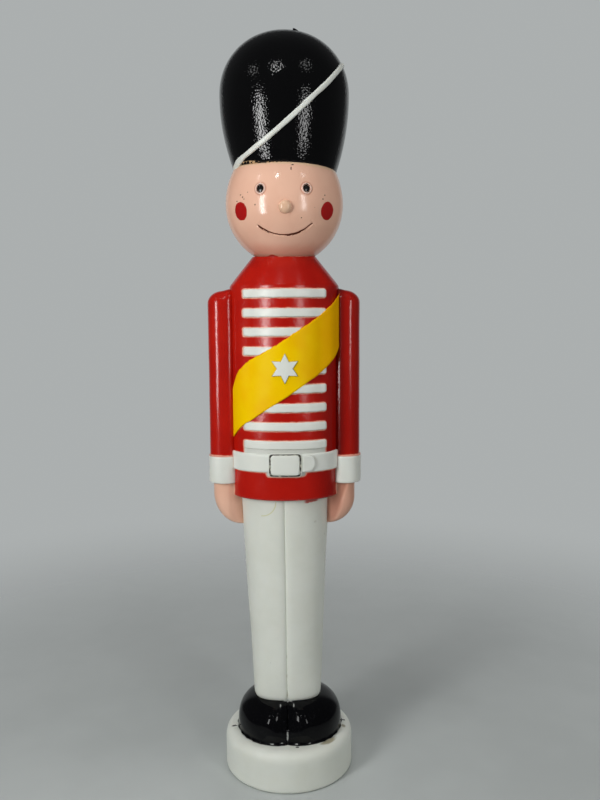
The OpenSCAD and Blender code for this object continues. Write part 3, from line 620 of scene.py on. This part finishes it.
def leg_rows(inset):
    """Grid of one leg's surface on the +X side, from the front groove round to the back one."""
    rows = []
    t = np.pi / 2 * (1 - np.cos(np.pi * np.linspace(0, 1, 81)))
    low, high = LEG_LOW_Z, LEG_HIGH_Z
    for z in np.concatenate([np.linspace(low, high - 7.2, 120), np.linspace(high - 6.8, high, 20)]):
        share = (z - HEM_Z) / (SKIRT_Z - HEM_Z)
        a, b = ((hem + (skirt - hem) * share) / 2 - inset for hem, skirt in LEG_SIZES)
        if inset == 0:
            rounding = 3.0 * (1 - math.sqrt(max(0.0, 1 - max(0.0, 1 - (z - low) / 6.0) ** 2)))
            a, b = a - rounding, b - rounding
        x, ahead = a * np.sin(t), np.cos(t)
        dip = 1.5 * np.exp(-(x / 3.0) ** 1.4) + 0.9 * np.exp(-x / 0.6)
        flat = 1 - 0.4 * float(smooth(115, 74, z))
        rows.append(place(np.maximum(x, 0.03), -np.sign(ahead) * (b * np.abs(ahead) ** flat - dip), z))
    return np.array(rows)


for side, word in SIDES:
    outer, inner = leg_rows(0), leg_rows(WALL)
    x, y, z = xyz(outer)
    x += 0.28 * lumps(outer * (1, 1, 0.5) + side * 31, 30, 8) * smooth(1.0, 8.0, x)
    # Grime and painted shade along the crease between the legs, more towards the bottom; darker at the bottom edge and
    # in patches near it
    crease = np.exp(-x) * (0.6 + 0.5 * lumps(outer * (0, 0, 1.0), 9, 26))
    grime = ((0.25 + 0.6 * smooth(190, 90, z)) * crease + 0.5 * smooth(72.2, 70.8, z)
             + 0.28 * smooth(90, 71, z) * smooth(0.0, 0.6, lumps(outer, 25, 3) + 0.5))
    ahead = (side > 0) & (y < 0)
    mark = bell(np.where(ahead, np.hypot((x - 28.5) / 2.0, (z - 246.5) / 3.2), 9.0), 1)
    smudge = smooth(265.2, 266.6, z + 0.7 * lumps(outer, 5, 27)) * np.exp(-((x - 25) / 6.5) ** 4) * ahead
    for grid in (outer, inner):
        grid[..., 0] = grid[..., 0] * side - 1.3 * (grid[..., 2] - HEM_Z) / (SKIRT_Z - HEM_Z)
    slab(word + "_leg_form", outer, inner, ivory if side > 0 else ivory_hair, word + "_trouser_leg",
         grime=grime + 0.6 * mark, ink=0.62 * mark, scuff=smudge)


# ---- coat

def box_reach(x, z, middle, half, r=1.8):
    """How far inside a rounded rectangle a place is, negative outside it."""
    dx, dz = np.abs(x - middle[0]) - half[0] + r, np.abs(z - middle[1]) - half[1] + r
    return -(np.hypot(np.maximum(dx, 0), np.maximum(dz, 0)) + np.minimum(np.maximum(dx, dz), 0) - r)


turn = circle(288)
levels = [(2.2, 270.0), (1.3, 270.2), (0.7, 270.55), (0.28, 271.1), (0.06, 271.8)]
levels += [(0.0, z) for z in np.concatenate([
    np.arange(272.6, 458.0, 1.15), np.arange(458.4, 474, 0.6), np.linspace(474.5, COLLAR_Z, 18)])]
rings = []
for inset, z in levels:
    q = (z - SHOULDER_Z) / (COLLAR_Z - SHOULDER_Z)
    share = min(1.0, 0.5 * (q + math.sqrt(q * q + 0.0016))) if q > -0.6 else 0.0
    ox, oy = oval(COAT_A - inset, COAT_B - inset, COAT_E, turn)
    oy = np.where(oy < 0, -front_depth(ox, z, -inset), oy)
    cx, cy = oval(COLLAR_R, COLLAR_DEEP, 2, turn)
    rings.append(place(ox * (1 - share) + cx * share, oy * (1 - share) + cy * share, z))
for inset, drop in ((1.6, 0.5), (5.2, 1.7)):
    rings.append(place(*oval(COLLAR_R - inset, COLLAR_DEEP - inset, 2, turn), COLLAR_Z - drop))
rings = np.array(rings)
x, y, z = xyz(rings)
collar_drop = COLLAR_DROP * np.maximum(np.cos(turn), 0)
z -= smooth(476, 491, z) * collar_drop
bare = np.maximum.reduce([
    -9.0 + 0 * x,
    # Round the bars, above the belt, round the belt and round the buckle
    *(box_reach(x, z, (0, bar), (BAR_HALF, BAR_TALL)) + 0.75 for bar in BAR_Z),
    box_reach(x, z, (0, 316.5), (37.8, 6.5)) + 0.3,
    box_reach(x, z, (0, 302.4), (60, 6.6)),
    box_reach(x, z, (1, 302.2), (18.6, 10.4), 3.5),
    # A scratch beside the right sleeve
    0.8 - np.maximum(np.maximum(330 - z, z - 352), 0) - np.maximum(np.abs(x + 40) - 9, 0) * 0.6
    - np.abs(z - (338 + 0.8 * (x + 40))) * 0.35,
    # Along the sleeves, a nick above the star, and the collar's edge
    np.abs(x) - 47.4 - 6 * smooth(298, 306, z),
    0.5 - np.hypot((x + 1) / 6.5, (z - 378.2) / 2.4),
    0.25 - (COLLAR_Z - collar_drop - z) - 12 * (1 - smooth(-9, -5, x) * smooth(27, 22, x))])
# Painted shade on the coat's left side, below the shoulders
tube("coat_form", rings, red_coat, sharp=38, bare=np.where(y < -6, bare + 0.22 * ripples(x, z, 9, 40), -9.0),
     dusk=0.75 * smooth(18, 46, x) * smooth(480, 455, z))


# ---- reliefs on the coat

EDGE = np.array([0.0, 0.1, 0.28, 0.55, 1.0])
SASH_TOP = np.array([(-50, 366), (-47.4, 376.5), (-43.8, 386.4), (-38, 393.4), (-25.6, 401.9), (-13.5, 408.7),
                     (-1.7, 415.6), (10, 423.6), (21.9, 431.2), (35.3, 441.6), (41.5, 447), (48.3, 455.7), (50, 459)])
SASH_LOW = np.array([(-50, 323.6), (-49.2, 324.8), (-43.8, 333), (-28.5, 345.1), (-11, 356.9), (3.9, 366.6),
                     (18.7, 376.7), (33.7, 387.3), (41.5, 395), (47, 402.4), (49.6, 408.2), (50, 409)])


def stations(low, high, edge, step):
    """Places from low to high, close together at both ends."""
    inner = np.linspace(low + edge, high - edge, max(2, int((high - low) / step)))
    return np.concatenate([low + EDGE[:-1] * edge, inner, high - EDGE[-2::-1] * edge])


def raised(d, out, waves):
    """Height of a relief whose rounded edge runs from 0 to 1 of d."""
    flat = np.clip(d, 0, 1)
    return np.where(d <= 1e-6, EDGE_OUT, out * np.sqrt(1 - (1 - flat) ** 2) + waves * flat)


def band(name, xs, low, high, out, edge, rows, dirt, seed, node=None, back=False, **fields):
    """Raised white band on the coat between two edges seen from the front."""
    z = low + (high - low) * stations(0.0, 1.0, 0.16, 1.0 / rows)[:, None]
    d = np.minimum(np.minimum(xs - xs[0], xs[-1] - xs), np.minimum(z - low, high - z)) / edge
    rise = raised(d, out, 0.06 * ripples(xs, z, 12, seed + 70))
    top, bottom = (skin(xs, z, h) * (1, -1 if back else 1, 1) for h in (rise, UNDER_OUT))
    # Painted shade along the lower edge, and fainter round every edge
    grime = dirt * smooth(1.1, 0.1, (z - low) / edge) + 0.25 * dirt * smooth(0.9, 0.1, d)
    return slab(name, top, bottom, white, node, sharp=55, grime=grime, **fields)


for k, bar in enumerate(BAR_Z):
    xs = stations(-BAR_HALF, BAR_HALF, 1.6, 1.3)
    corner = np.maximum(np.abs(xs) - BAR_HALF + BAR_CORNER, 0)
    tall = BAR_TALL - BAR_CORNER + np.sqrt(np.maximum(BAR_CORNER ** 2 - corner ** 2, 0))
    low = bar - tall + 0.22 * ripples(xs, bar, 14, 100 + k) + 0.1 * ripples(xs, bar, 4, 200 + k)
    high = bar + tall + 0.2 * ripples(xs, bar, 14, 300 + k) + 0.1 * ripples(xs, bar, 4, 400 + k)
    band(f"chest_bar_{k + 1}_form", xs, low, high, 1.5, 1.25, rows=10, dirt=0.55, seed=k)

xs = stations(-48.5, 49.8, 1.2, 1.0)
top_edge = curve(*SASH_TOP.T, xs) + 0.3 * ripples(xs, 0, 7, 51) + 0.22 * ripples(xs, 0, 2.6, 52)
low_edge = curve(*SASH_LOW.T, xs) + 0.18 * ripples(xs, 0, 11, 53)
z = low_edge + (top_edge - low_edge) * stations(0.0, 1.0, 0.03, 1.0 / 44)[:, None]
from_low, from_top = (z - low_edge) * SASH_LEAN, (top_edge - z) * SASH_LEAN
rise = raised(np.minimum(from_low, from_top) / 1.2, 2.2, 0.08 * ripples(xs, z, 18, 54))
orange = np.maximum(0.55 - from_top / 1.1 + 0.5 * ripples(xs, z, 6, 55),
                    0.5 - (50.2 - np.abs(xs)) / 1.5 + 0.3 * ripples(xs, z, 6, 56))
# Painted shade towards both ends of the sash, most towards the figure's left, and a painted shadow line along its lower
# edge
slab("sash_form", skin(xs, z, rise), skin(xs, z, UNDER_OUT), yellow, sharp=55,
     bare=np.clip(orange, -3, 1.1) - 0.3, dusk=0.55 * smooth(10, 46, xs) + 0.15 * smooth(-32, -48, xs),
     ink=0.5 * smooth(1.0, 0.1, from_low))


def badge(name, outline, steps, sharp, **fields):
    """Raised white shape. steps are shares of its size, each with a height. A field is found from points and share."""
    middle = np.mean(outline, 0)
    shapes = [middle + (outline - middle) * s for s, _ in steps]
    values = {key: [f(p, s) + 0 * p[:, 0] for p, (s, _) in zip(shapes, steps)] for key, f in fields.items()}
    rings = [skin(*p.T, h) for p, (_, h) in zip(shapes, steps)]
    return tube(name, rings, white, sharp=sharp, **values)


# Six-pointed star
points = np.arange(12)
reach, at = np.where(points % 2, STAR_R * STAR_WAIST, STAR_R), np.radians(30 * points)
star = np.stack([reach * np.sin(at), SASH_Z + 0.4 + reach * np.cos(at)], -1)
star_steps = [(1.045, 1.6), (1.045, 2.3), (1.0, 2.36), (1.0, 3.0), (0.985, 3.3), (0.95, 3.45),
              *((s, 3.5) for s in (0.8, 0.6, 0.4, 0.2, 0.03))]
# The star's sides carry grime, and a painted shadow line runs along its lower right edges
badge("sash_star_form", divided(star, lambda a, b: 8), star_steps, 28,
      grime=lambda p, s: 1.3 if s > 0.99 else 0.1,
      ink=lambda p, s: (0.85 if s > 0.99 else 0.0) * smooth(6, -3, p[:, 1] - SASH_Z - 0.6 * p[:, 0]) + 0.05)

# Belt in front and behind
xs = stations(-50.2, 50.2, 1.0, 1.6)
low = BELT_Z + 0.25 * ripples(xs, 0, 20, 61) - 0.2 * smooth(38, 50, np.abs(xs))
high = BELT_TOP_Z + 0.2 * ripples(xs, 0, 20, 62) + 0.4 * smooth(38, 50, np.abs(xs))
for back, word in enumerate(("belt_front", "belt_back")):
    band(word, xs, low, high, 2.0, 1.2, rows=14, dirt=0.35, seed=63 + back, node="belt", back=back,
         pink=0.75 * smooth(46.8, 49.3, np.abs(xs)))

# Buckle: a rim, a worn groove and a plate
buckle = rounded_polygon([(-BUCKLE_HALF, BUCKLE_Z), (BUCKLE_HALF, BUCKLE_Z), (BUCKLE_HALF, BUCKLE_TOP_Z),
                          (-BUCKLE_HALF, BUCKLE_TOP_Z)], [3.6] * 4, 5)
buckle_steps = [(1.0, 1.2), (1.0, 2.35), (0.985, 2.6), (0.965, 2.7), (0.945, 2.6), (0.92, 2.3), (0.89, 2.2),
                (0.865, 2.35), (0.85, 2.8), (0.835, 3.1), (0.81, 3.22),
                *((s, 3.25) for s in (0.6, 0.4, 0.2, 0.02))]


def buckle_ink(p, s):
    """Black in the groove, most of it above and to the right."""
    x, z = p[:, 0], p[:, 1] - 303.5
    black = 0.4 + 0.62 * smooth(9.0, 10.2, z) * smooth(14.5, 9.0, np.abs(x - 1)) + 0.3 * smooth(11.0, 12.1, np.abs(x))
    black += 0.4 * smooth(8.6, 9.6, -z) + 0.25 * lumps(p, 5, 64)
    return black * (1.0 if 0.86 < s < 0.95 else 0.35 if 0.84 < s < 0.99 else 0.0)


# The groove is darker all round and holds flecks of black paint, most above and to the right
badge("belt_buckle_form", divided(buckle, lambda a, b: np.linalg.norm(b - a) / 0.9), buckle_steps, 50, ink=buckle_ink,
      grime=lambda p, s: 0.75 if 0.845 < s < 0.97 else 0.0)

# Loose end of the belt beside the buckle
tip = [(15.0, 297.4), (20.4, 297.4)]
tip += [(20.4 + 6.6 * math.sin(a), 305 - 7.6 * math.cos(a)) for a in np.linspace(0.15, np.pi - 0.15, 26)]
tip += [(20.4, 312.6), (15.0, 312.6), *((15.0, z) for z in np.linspace(311, 299, 9))]
tip_steps = [(1.0, 1.4), (1.0, 2.6), (0.97, 3.0), (0.93, 3.15), (0.7, 3.1), (0.4, 3.0), (0.05, 2.9)]
# Painted shadow on the sides of its rounded end, at the right
badge("belt_tongue_form", tip, tip_steps, 50,
      grime=lambda p, s: (1.0 if s > 0.99 else 0.1) * smooth(16.5, 20, p[:, 0]))


# ---- arms

def arm_ring(a, b, z, e=2.4, middle=ARM_X):
    x, y = oval(a, b, e, circle(96))
    return place(x + middle, y, z)


CUFF_LEVELS = [(1.5, 282.0), (0.75, 282.15), (0.3, 282.5), (0.05, 283.1),
               *((0.0, z) for z in np.linspace(284, 306, 18)), (0.05, 307.0), (0.3, 307.6), (0.8, 307.9), (1.6, 308.0)]
for side, word in SIDES:
    left = side > 0
    rings = [arm_ring(ARM_A, ARM_B, z) for z in np.arange(306.5, 451.0, 2.4)]
    for t in np.linspace(0, np.pi / 2 - 0.04, 16):
        shrink = 11.5 * (1 - math.cos(t))
        rings.append(arm_ring(ARM_A - shrink, ARM_B - shrink, 452.5 + 12.0 * math.sin(t), middle=ARM_X - 0.18 * shrink))
    rings = np.array(rings)
    x, y, z = xyz(rings)
    z -= 3.4 * smooth(44, 58, x) * smooth(425, 462, z)
    rings[..., :2] += 0.12 * lumps(rings + side * 13, 40, 71)[..., None]
    x[:] = np.minimum(x + (0.0 if left else 0.9) * smooth(50, 66, x), ARM_LIMIT)
    # Painted shade on the left sleeve, deepest on its inner side by the coat
    bare, dusk = 308.9 - z + 0.3 * lumps(rings, 7, 72), (0.3 + 0.6 * smooth(59, 50, x)) * left
    x *= side
    tube(word + "_sleeve_form", rings, red, sharp=38, bare=np.clip(bare, -3, 1.6), dusk=dusk)

    rings = np.array([arm_ring(ARM_A + 2.0 - inset, ARM_B + 2.0 - inset, z, e=2.3) for inset, z in CUFF_LEVELS])
    x, y, z = xyz(rings)
    x[:] = np.minimum(x + (1.6 if left else 0.0) * smooth(56, 44, x), HALF_WIDTH)
    pink = np.maximum(smooth(306.2, 307.9, z + 0.5 * lumps(rings, 9, 73)) * 0.8, smooth(44.6, 43.0, x) * 0.5)
    x *= side
    # Painted shade along the cuff's lower edge
    tube(word + "_cuff_form", rings, white, sharp=38, grime=0.5 * smooth(283.2, CUFF_Z, z), pink=pink)

    low_z, taper, curl = (CUFF_Z - 41.0, 24, 26) if left else (CUFF_Z - 41.5, 25, 31)
    rings, steps = [], 30
    for i in range(steps + 7):
        bend = math.pi / 2 * min(i, steps) / steps
        u = math.sin(bend)
        rise = curl * (1 - math.cos(bend)) + (41.8 - curl) * max(i - steps, 0) / 6
        inner_x = 42.0 - (SKIRT_Z - min(low_z + rise, SKIRT_Z)) * 0.049 - 3.25
        half = max((67.4 - taper * (1 - u) - inner_x) / 2, 0.4)
        rings.append(arm_ring(half, 15.0 * (0.25 + 0.75 * u), low_z + rise, e=2.3, middle=inner_x + half))
    rings = np.array(rings)
    x, y, z = xyz(rings)
    thumb = 58.2 - 0.3 * (278 - z) if left else 50.0
    sunk = smooth(thumb + 1.8, thumb - 1.8, x) * smooth(-2, -8, y) * smooth(low_z, low_z + 8, z)
    fold = bell(x - thumb, 1.0) * smooth(-2, -8, y) * smooth(low_z + 6, low_z + 14, z)
    y += (1.5 if left else 0.9) * sunk + 0.4 * fold
    x *= side
    # Painted shade on the left hand, and in the sunk part of each hand
    tube(word + "_hand_form", rings, flesh, bare=-3.0, blush=0.32 * left + (0.3 if left else 0.12) * sunk)


# ---- head

# Chips and specks in the face's paint: place from the front, half width and half height
HEAD_SPOTS = [(-37.5, 542.4, 0.8, 0.7), (-35.6, 540.2, 0.6, 0.9), (-34.3, 538.5, 0.6, 0.6), (-41.0, 537.5, 0.7, 0.6),
              (-31.0, 544.0, 0.5, 0.5), (-24.4, 532.8, 0.6, 0.9), (15.5, 521.4, 0.6, 0.6), (34.3, 538.1, 0.7, 0.7),
              (36.0, 541.5, 0.5, 0.8), (6.8, 563.1, 0.5, 2.2), (8.2, 566.0, 1.6, 0.5), (27.0, 530.5, 0.4, 0.4)]
azimuth = np.radians(np.concatenate([np.arange(-180, -60, 3.0), np.arange(-60, 60, 0.5), np.arange(60, 180, 3.0)]))
rise = np.concatenate([
    [HEAD_LOW_Z - HEAD_Z], np.arange(-48.9, -34, 0.9), np.arange(-34, 14, 0.5), np.arange(14.2, 30.4, 1.2),
    [BRIM_Z - HEAD_Z]])
ring_r = head_radius(rise)
ring_r[0], ring_r[-1] = HEAD_LOW_R, HEAD_TOP_R
head = turned(ring_r, rise, azimuth)
x, y, z = xyz(head)
nose_at = NOSE_X, -math.sqrt(HEAD_R ** 2 - NOSE_Z ** 2 - NOSE_X ** 2), NOSE_Z
from_nose = np.linalg.norm(head - nose_at, axis=-1)
push = 4.1 * np.maximum(1 - (from_nose / NOSE_R) ** 2.5, 0) ** (1 / 2.1) - 0.22 * bell(from_nose - 6.1, 0.5)
# The smile's groove, with a short tick at each end
arc_turn = np.degrees(np.arctan2(x - SMILE_X, SMILE_Z - z)) - SMILE_TILT
arc_away = np.abs(np.hypot(x - SMILE_X, z - SMILE_Z) - SMILE_R)
held = smooth(44.8, 43.4, np.abs(arc_turn)) * (y < 0)
tick = (y < 0) * bell(np.abs(arc_turn) - 44.6, 0.9) * smooth(3.2, 2.0, arc_away)
push += held * (-0.5 * bell(arc_away, 0.76) + 0.12 * bell(arc_away - 1.6, 0.5))
push -= 0.3 * tick
eye_line = 0.0
for side, _ in SIDES:
    from_eye = np.linalg.norm(head - on_face(side * EYE_TURN + EYES_TURN, EYE_RISE)[0] * HEAD_R, axis=-1)
    push -= 0.15 * bell(from_eye - 5.4, 0.45)
    eye_line = eye_line + bell(from_eye - 5.3, 0.5)
push += 0.10 * lumps(head, 26, 81) * smooth(-46, -40, z) * smooth(30.5, 26, z)
push[0] = push[-1] = 0
head = head + unit(head) * push[..., None] + (0, 0, HEAD_Z)
x, y, z = xyz(head)
smear = 1.6 * bell(x + 11, 3.4) * (y < 0)
red_neck = COLLAR_Z - COLLAR_DROP * np.maximum(np.cos(azimuth), 0) - 0.1 - z + 0.2 * lumps(head, 12, 82) + smear
# Red overspray mixed with painted shade towards the neck, and a darker ring round each eye
blush = np.maximum(0.25 * smooth(505, 492, z + 1.5 * lumps(head, 30, 84)), 0.5 * eye_line)
tan = np.maximum(0.5 * smooth(6.0, 4.6, from_nose),
                 0.8 * smooth(1.8, 0.4, BRIM_Z - brim_drop(x) - z + 0.5 * lumps(head, 9, 85)))
spots = 0.0
for at_x, at_z, wide, tall in HEAD_SPOTS:
    spots = np.maximum(spots, 1.15 * bell(np.hypot((x - at_x) / wide, (z - at_z) / tall), 1) * (y < 0))
z[-1] -= brim_drop(x[-1])
tube("head_form", head, flesh, bare=np.clip(red_neck, -3, 1.3), blush=blush, tan=tan,
     ink=np.clip(0.5 * tick + spots, 0, 1.2) + 0.12 * held * bell(arc_away, 0.5))


def face_disc(name, turn_deg, rise_mm, steps, radius_of, finish, **fields):
    """Round piece on the face. steps are shares of its radius, each with a height. Fields go by radius and angle."""
    n, side, up = on_face(turn_deg, rise_mm)
    psi = circle(64, 0)
    edge, rings = radius_of(psi), []
    for s, h in steps:
        flat = n * HEAD_R + (edge * s * np.cos(psi))[:, None] * side + (edge * s * np.sin(psi))[:, None] * up
        rings.append(head_point(flat, h))
    values = {key: [f(edge * s, psi) for s, _ in steps] for key, f in fields.items()}
    return tube(name, rings, finish, **values)


EYE_STEPS = [(1.06, -0.5), (1.04, 0.02), (0.99, 0.34), (0.93, 0.52), (0.86, 0.58), (0.78, 0.5), (0.72, 0.28),
             (0.70, 0.1), (0.68, -0.05), (0.65, 0.02), (0.58, 0.14), (0.42, 0.28), (0.28, 0.36), (0.14, 0.4),
             (0.02, 0.41)]
CHEEK_STEPS = [(1.0, -0.4), (1.0, 0.03), (0.985, 0.07), *((s, 0.09) for s in (0.96, 0.8, 0.6, 0.4, 0.2, 0.03))]
for side, word in SIDES:
    # Each eye's ring is paler at its crest, partly bare shell and partly a painted highlight
    face_disc(word + "_eye_form", side * EYE_TURN + EYES_TURN, EYE_RISE, EYE_STEPS,
              lambda psi: 4.75 + 0.08 * np.sin(3 * psi + side), eye_flesh,
              ink=lambda r, psi: 2.0 * smooth(3.55, 3.35, r * np.hypot(np.cos(psi) * 1.04, np.sin(psi) * 0.93)),
              bare=lambda r, psi: -0.9 + 1.1 * bell(r - 4.15, 0.45))
    face_disc(word + "_cheek_form", side * CHEEK_TURN + CHEEKS_TURN, CHEEK_RISE, CHEEK_STEPS,
              lambda psi: 8.0 + 0.10 * np.sin(4 * psi + side) + 0.07 * np.sin(9 * psi), cheek_red,
              bare=lambda r, psi: -1.2 + 0.5 * smooth(7.6, 8.0, r))

# Dark line wiped into the smile's groove
arc_turn = np.linspace(-SMILE_HALF, SMILE_HALF, 121)
turn = np.radians(arc_turn + SMILE_TILT)
out_x, out_z = np.sin(turn), -np.cos(turn)
line_x, line_z = SMILE_X + SMILE_R * out_x, SMILE_Z + SMILE_R * out_z
wide = (0.8 + 0.18 * ripples(line_x, line_z, 5, 91)) * np.clip((44.6 - np.abs(arc_turn)) / 4.0, 0.25, 1)
across = np.linspace(-1, 1, 7)[:, None]
px, pz = line_x + across * wide * out_x, line_z + across * wide * out_z


def smile_rows(sink):
    """The line, that deep under the head's surface."""
    return place(px, -np.sqrt((head_radius(pz) - sink) ** 2 - px ** 2), pz + HEAD_Z)


slab("smile_form", smile_rows(0.46 - 0.36 * across ** 2), smile_rows(1.2), smile_dark, "smile_line",
     bare=0.25 + 0.6 * ripples(line_x, line_z, 3.4, 92) - 0.8, ink=0.15)


# ---- hat

turn = circle(256)
profile = [(44.2, 569.8), (45.6, 569.85), (46.3, 570.1), (46.85, 570.6)]
profile += [(float(hat_radius(z)), z) for z in np.linspace(571.3, BRIM_Z + HAT_BELLY, 52)]
profile += [(HAT_R * math.cos(a) ** (2 / HAT_E), BRIM_Z + HAT_BELLY + (HAT_H - HAT_BELLY) * math.sin(a) ** (2 / HAT_E))
            for a in np.linspace(0, np.pi / 2, 60)[1:-1]]
hat = turned(*np.array(profile).T, turn)
x, y, z = xyz(hat)
hat[..., :2] *= (1 + 0.09 * (lumps(hat, 38, 95) - 0.7) * smooth(572, 580, z) / 58.0)[..., None]
worn = BRIM_Z + 0.8 + 1.7 * smooth(-14, -30, x) - z + 0.35 * lumps(hat, 16, 96)
flecks = 1.2 * smooth(4.2, 1.0, z - BRIM_Z) * smooth(-0.5, 0.2, lumps(hat * (1, 1, 2.5), 5, 97))
z -= brim_drop(x) * near_brim(z)
tube("hat_form", hat, black, bare=np.clip(worn, -3, 1.5), ink=flecks)

# Little nib of flash on the crown
t = circle(20, 0)
nib = [place(10.9 - 0.5 * k + w * np.cos(t), 0.45 * w * np.sin(t) - 22.7, 684.5 + h)
       for k, (w, h) in enumerate([(2.8, 0.0), (2.2, 0.9), (1.6, 1.6), (1.0, 2.2), (0.5, 2.6)])]
tube("hat_flash_nib", nib, black, "hat", sharp=38, bare=-2.0)

# Strap across the hat, laid on it along a few places seen from the front
STRAP = np.array([(-46.3, 567.6), (-40.6, 572.6), (-29.6, 578.6), (-15.6, 587.0), (4.0, 601.8), (25.0, 621.4),
                  (39.7, 637.2), (49.0, 651.5), (53.4, 662.0)])
length = np.concatenate([[0], np.cumsum(np.hypot(*np.diff(STRAP, axis=0).T))])
s = np.linspace(0, length[-1], 150)
route_x, route_z = (curve(length, v, s) for v in STRAP.T)
route_r = hat_radius(np.maximum(route_z + brim_drop(route_x) * near_brim(route_z), BRIM_Z))
phi = np.arcsin(np.clip(route_x / route_r, -0.999, 0.999))
line = place(route_r * np.sin(phi), -route_r * np.cos(phi), route_z)
over_brim = np.maximum(route_z, BRIM_Z)
slope = hat_radius(over_brim + 0.5) - hat_radius(over_brim - 0.5 * (route_z > 571))
facing, along = unit(place(np.sin(phi), -np.cos(phi), -slope)), unit(np.gradient(line, axis=0))
start = smooth(0.12, 0.0, s / length[-1])
half = 2.25 + 1.5 * start + 0.16 * ripples(s, 0, 9, 98) - 0.5 * smooth(0.93, 1.0, s / length[-1])
tall = 1.45 + 0.12 * ripples(s, 0, 14, 99) - 0.75 * start
across = np.array([-1.0, -0.97, -0.88, -0.7, -0.4, 0.0, 0.4, 0.7, 0.88, 0.97, 1.0])[:, None]
bulge = np.array([-0.45, 0.25, 0.62, 0.88, 0.98, 1.0, 0.98, 0.88, 0.62, 0.25, -0.45])[:, None]
lift = bulge * tall
lift[:, [0, -1]] = -0.4
lift[:, [1, -2]] *= 0.6
middle = line + np.cross(facing, along) * (across * half)[..., None]
# Painted shade and painted shadow lines along both edges, and darker where it starts over the brim
slab("hat_strap_form", middle + facing * lift[..., None], middle - facing * 1.1, white,
     grime=0.45 * (np.abs(across) > 0.9) + 0.2 * start, ink=0.35 * (np.abs(across) > 0.95))


# ---- lamp: the frame's own shapes with finished surfaces

holder = plastic("holder_plastic", (28, 62, 44), (22, 52, 38), 0.42, grime=(90, 96, 80), deep=0.0)
socket = plastic("socket_plastic", (34, 34, 36), (28, 28, 30), 0.46, grime=(80, 80, 76), deep=0.0)
f = Finish("brass")
scratch = f.noise(900, at=f.node("Mapping", {"Vector": f.where, "Scale": (1.0, 1.0, 0.08)}).outputs[0])
brass = f.set(Base_Color=f.mix(f.span(f.noise(160, 4, 0.6), 0.35, 0.7), (206, 172, 96), (176, 140, 74)), Metallic=1.0,
              Roughness=f.span(scratch, 0.2, 0.8, 0.2, 0.38), Normal=f.bump(scratch, 0.00001))
f = Finish("bulb_glass")
dust = f.noise(260, 4, 0.6)
glass = f.set(Base_Color=f.mix(f.span(dust, 0.3, 0.8), (0.97, 0.96, 0.92, 1.0), (0.9, 0.88, 0.8, 1.0)),
              Roughness=f.span(dust, 0.3, 0.8, 0.02, 0.09), Normal=f.bump(f.noise(90), 0.00005),
              Transmission_Weight=1.0, IOR=1.45)
for node, (material, _) in (("lamp_holder", holder), ("lamp_socket", socket), ("socket_contact", brass),
                            ("bulb_cap", brass), ("bulb_glass", glass)):
    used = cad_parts[node].data.materials
    used.clear()
    used.append(material)


# ---- floor, light and world

t = circle(96, 0)
floor_r = np.concatenate([[0.0001], np.linspace(0.05, 3.0, 60)])[:, None]
floor_mesh = bpy.data.meshes.new("floor")
floor_mesh.from_pydata(place(floor_r * np.sin(t), floor_r * np.cos(t), -0.00002).reshape(-1, 3).tolist(), [],
                       grid_faces(len(t), len(floor_r), around=True))
floor = add("floor", floor_mesh)
f = Finish("floor_paper")
f.set(Base_Color=f.mix(f.span(f.noise(6, 3, 0.6), 0.35, 0.7), (196, 201, 199), (190, 195, 193)),
      Roughness=f.span(f.noise(40, 3), 0.2, 0.8, 0.75, 0.9), Normal=f.bump(f.noise(300, 3), 0.0001))
# The paper fades out away from the figure
far = f.span(f.node("VectorMath", {0: f.where}, operation="LENGTH").outputs["Value"], 0.12, 1.0)
fade = f.node("MixShader", {0: far, 1: f.shader.outputs[0], 2: f.node("BsdfTransparent").outputs[0]})
put(f.out.inputs["Surface"], fade.outputs[0])
floor_mesh.materials.append(f.material)


def lamp(name, azimuth_deg, distance, z, wide, tall, level, aim_z):
    """Soft panel round the figure. level is how bright the panel itself looks. A fill shows in no reflection."""
    data = bpy.data.lights.new(name, "AREA")
    data.shape, data.size, data.size_y = "RECTANGLE", wide, tall
    data.energy = level * math.pi * wide * tall
    made = add(name, data)
    a = math.radians(azimuth_deg)
    made.location = (distance * math.sin(a), -distance * math.cos(a), z)
    made.rotation_euler = (Vector((0, 0, aim_z)) - made.location).to_track_quat("-Z", "Y").to_euler()
    made.visible_camera, made.visible_glossy = False, not name.endswith("_fill")


lamp("left_panel", -41, 0.724, 0.49, 0.12, 0.40, 15.0, 0.49)
lamp("right_panel", 36, 0.724, 0.52, 0.09, 0.34, 9.0, 0.52)
lamp("upper_right", 43, 0.742, 1.17, 0.07, 0.10, 6.5, 0.60)
lamp("upper_left", -55, 0.739, 1.06, 0.07, 0.12, 5.0, 0.60)
lamp("top_front", -13, 0.60, 1.03, 0.05, 0.05, 44.0, 0.60)
lamp("left_fill", -45, 1.5, 1.0, 0.8, 0.8, 2.45, 0.35)
lamp("right_fill", 78, 1.3, 0.7, 0.8, 1.0, 1.0, 0.35)
lamp("top_fill", 0, 0.5, 2.0, 1.2, 1.2, 1.3, 0.30)
lamp("back_fill", 170, 1.9, 1.3, 1.2, 1.0, 1.3, 0.35)

# A dim room, with a pale wall behind the figure
world = bpy.data.worlds.new("studio")
world.use_nodes = True
tree = world.node_tree
direction = new_node(tree, "SeparateXYZ", {0: new_node(tree, "TexCoord").outputs["Generated"]})
behind = new_node(tree, "MapRange", {"Value": direction.outputs["Y"], "From Min": 0.70, "From Max": 0.84},
                  interpolation_type="SMOOTHSTEP")
wall = new_node(tree, "Mix", {0: behind.outputs[0], 6: (0.062, 0.064, 0.066, 1.0), 7: (0.41, 0.43, 0.43, 1.0)},
                data_type="RGBA")
put(tree.nodes["Background"].inputs["Color"], wall.outputs[2])
scene.world = world
scene.view_settings.view_transform = "Standard"
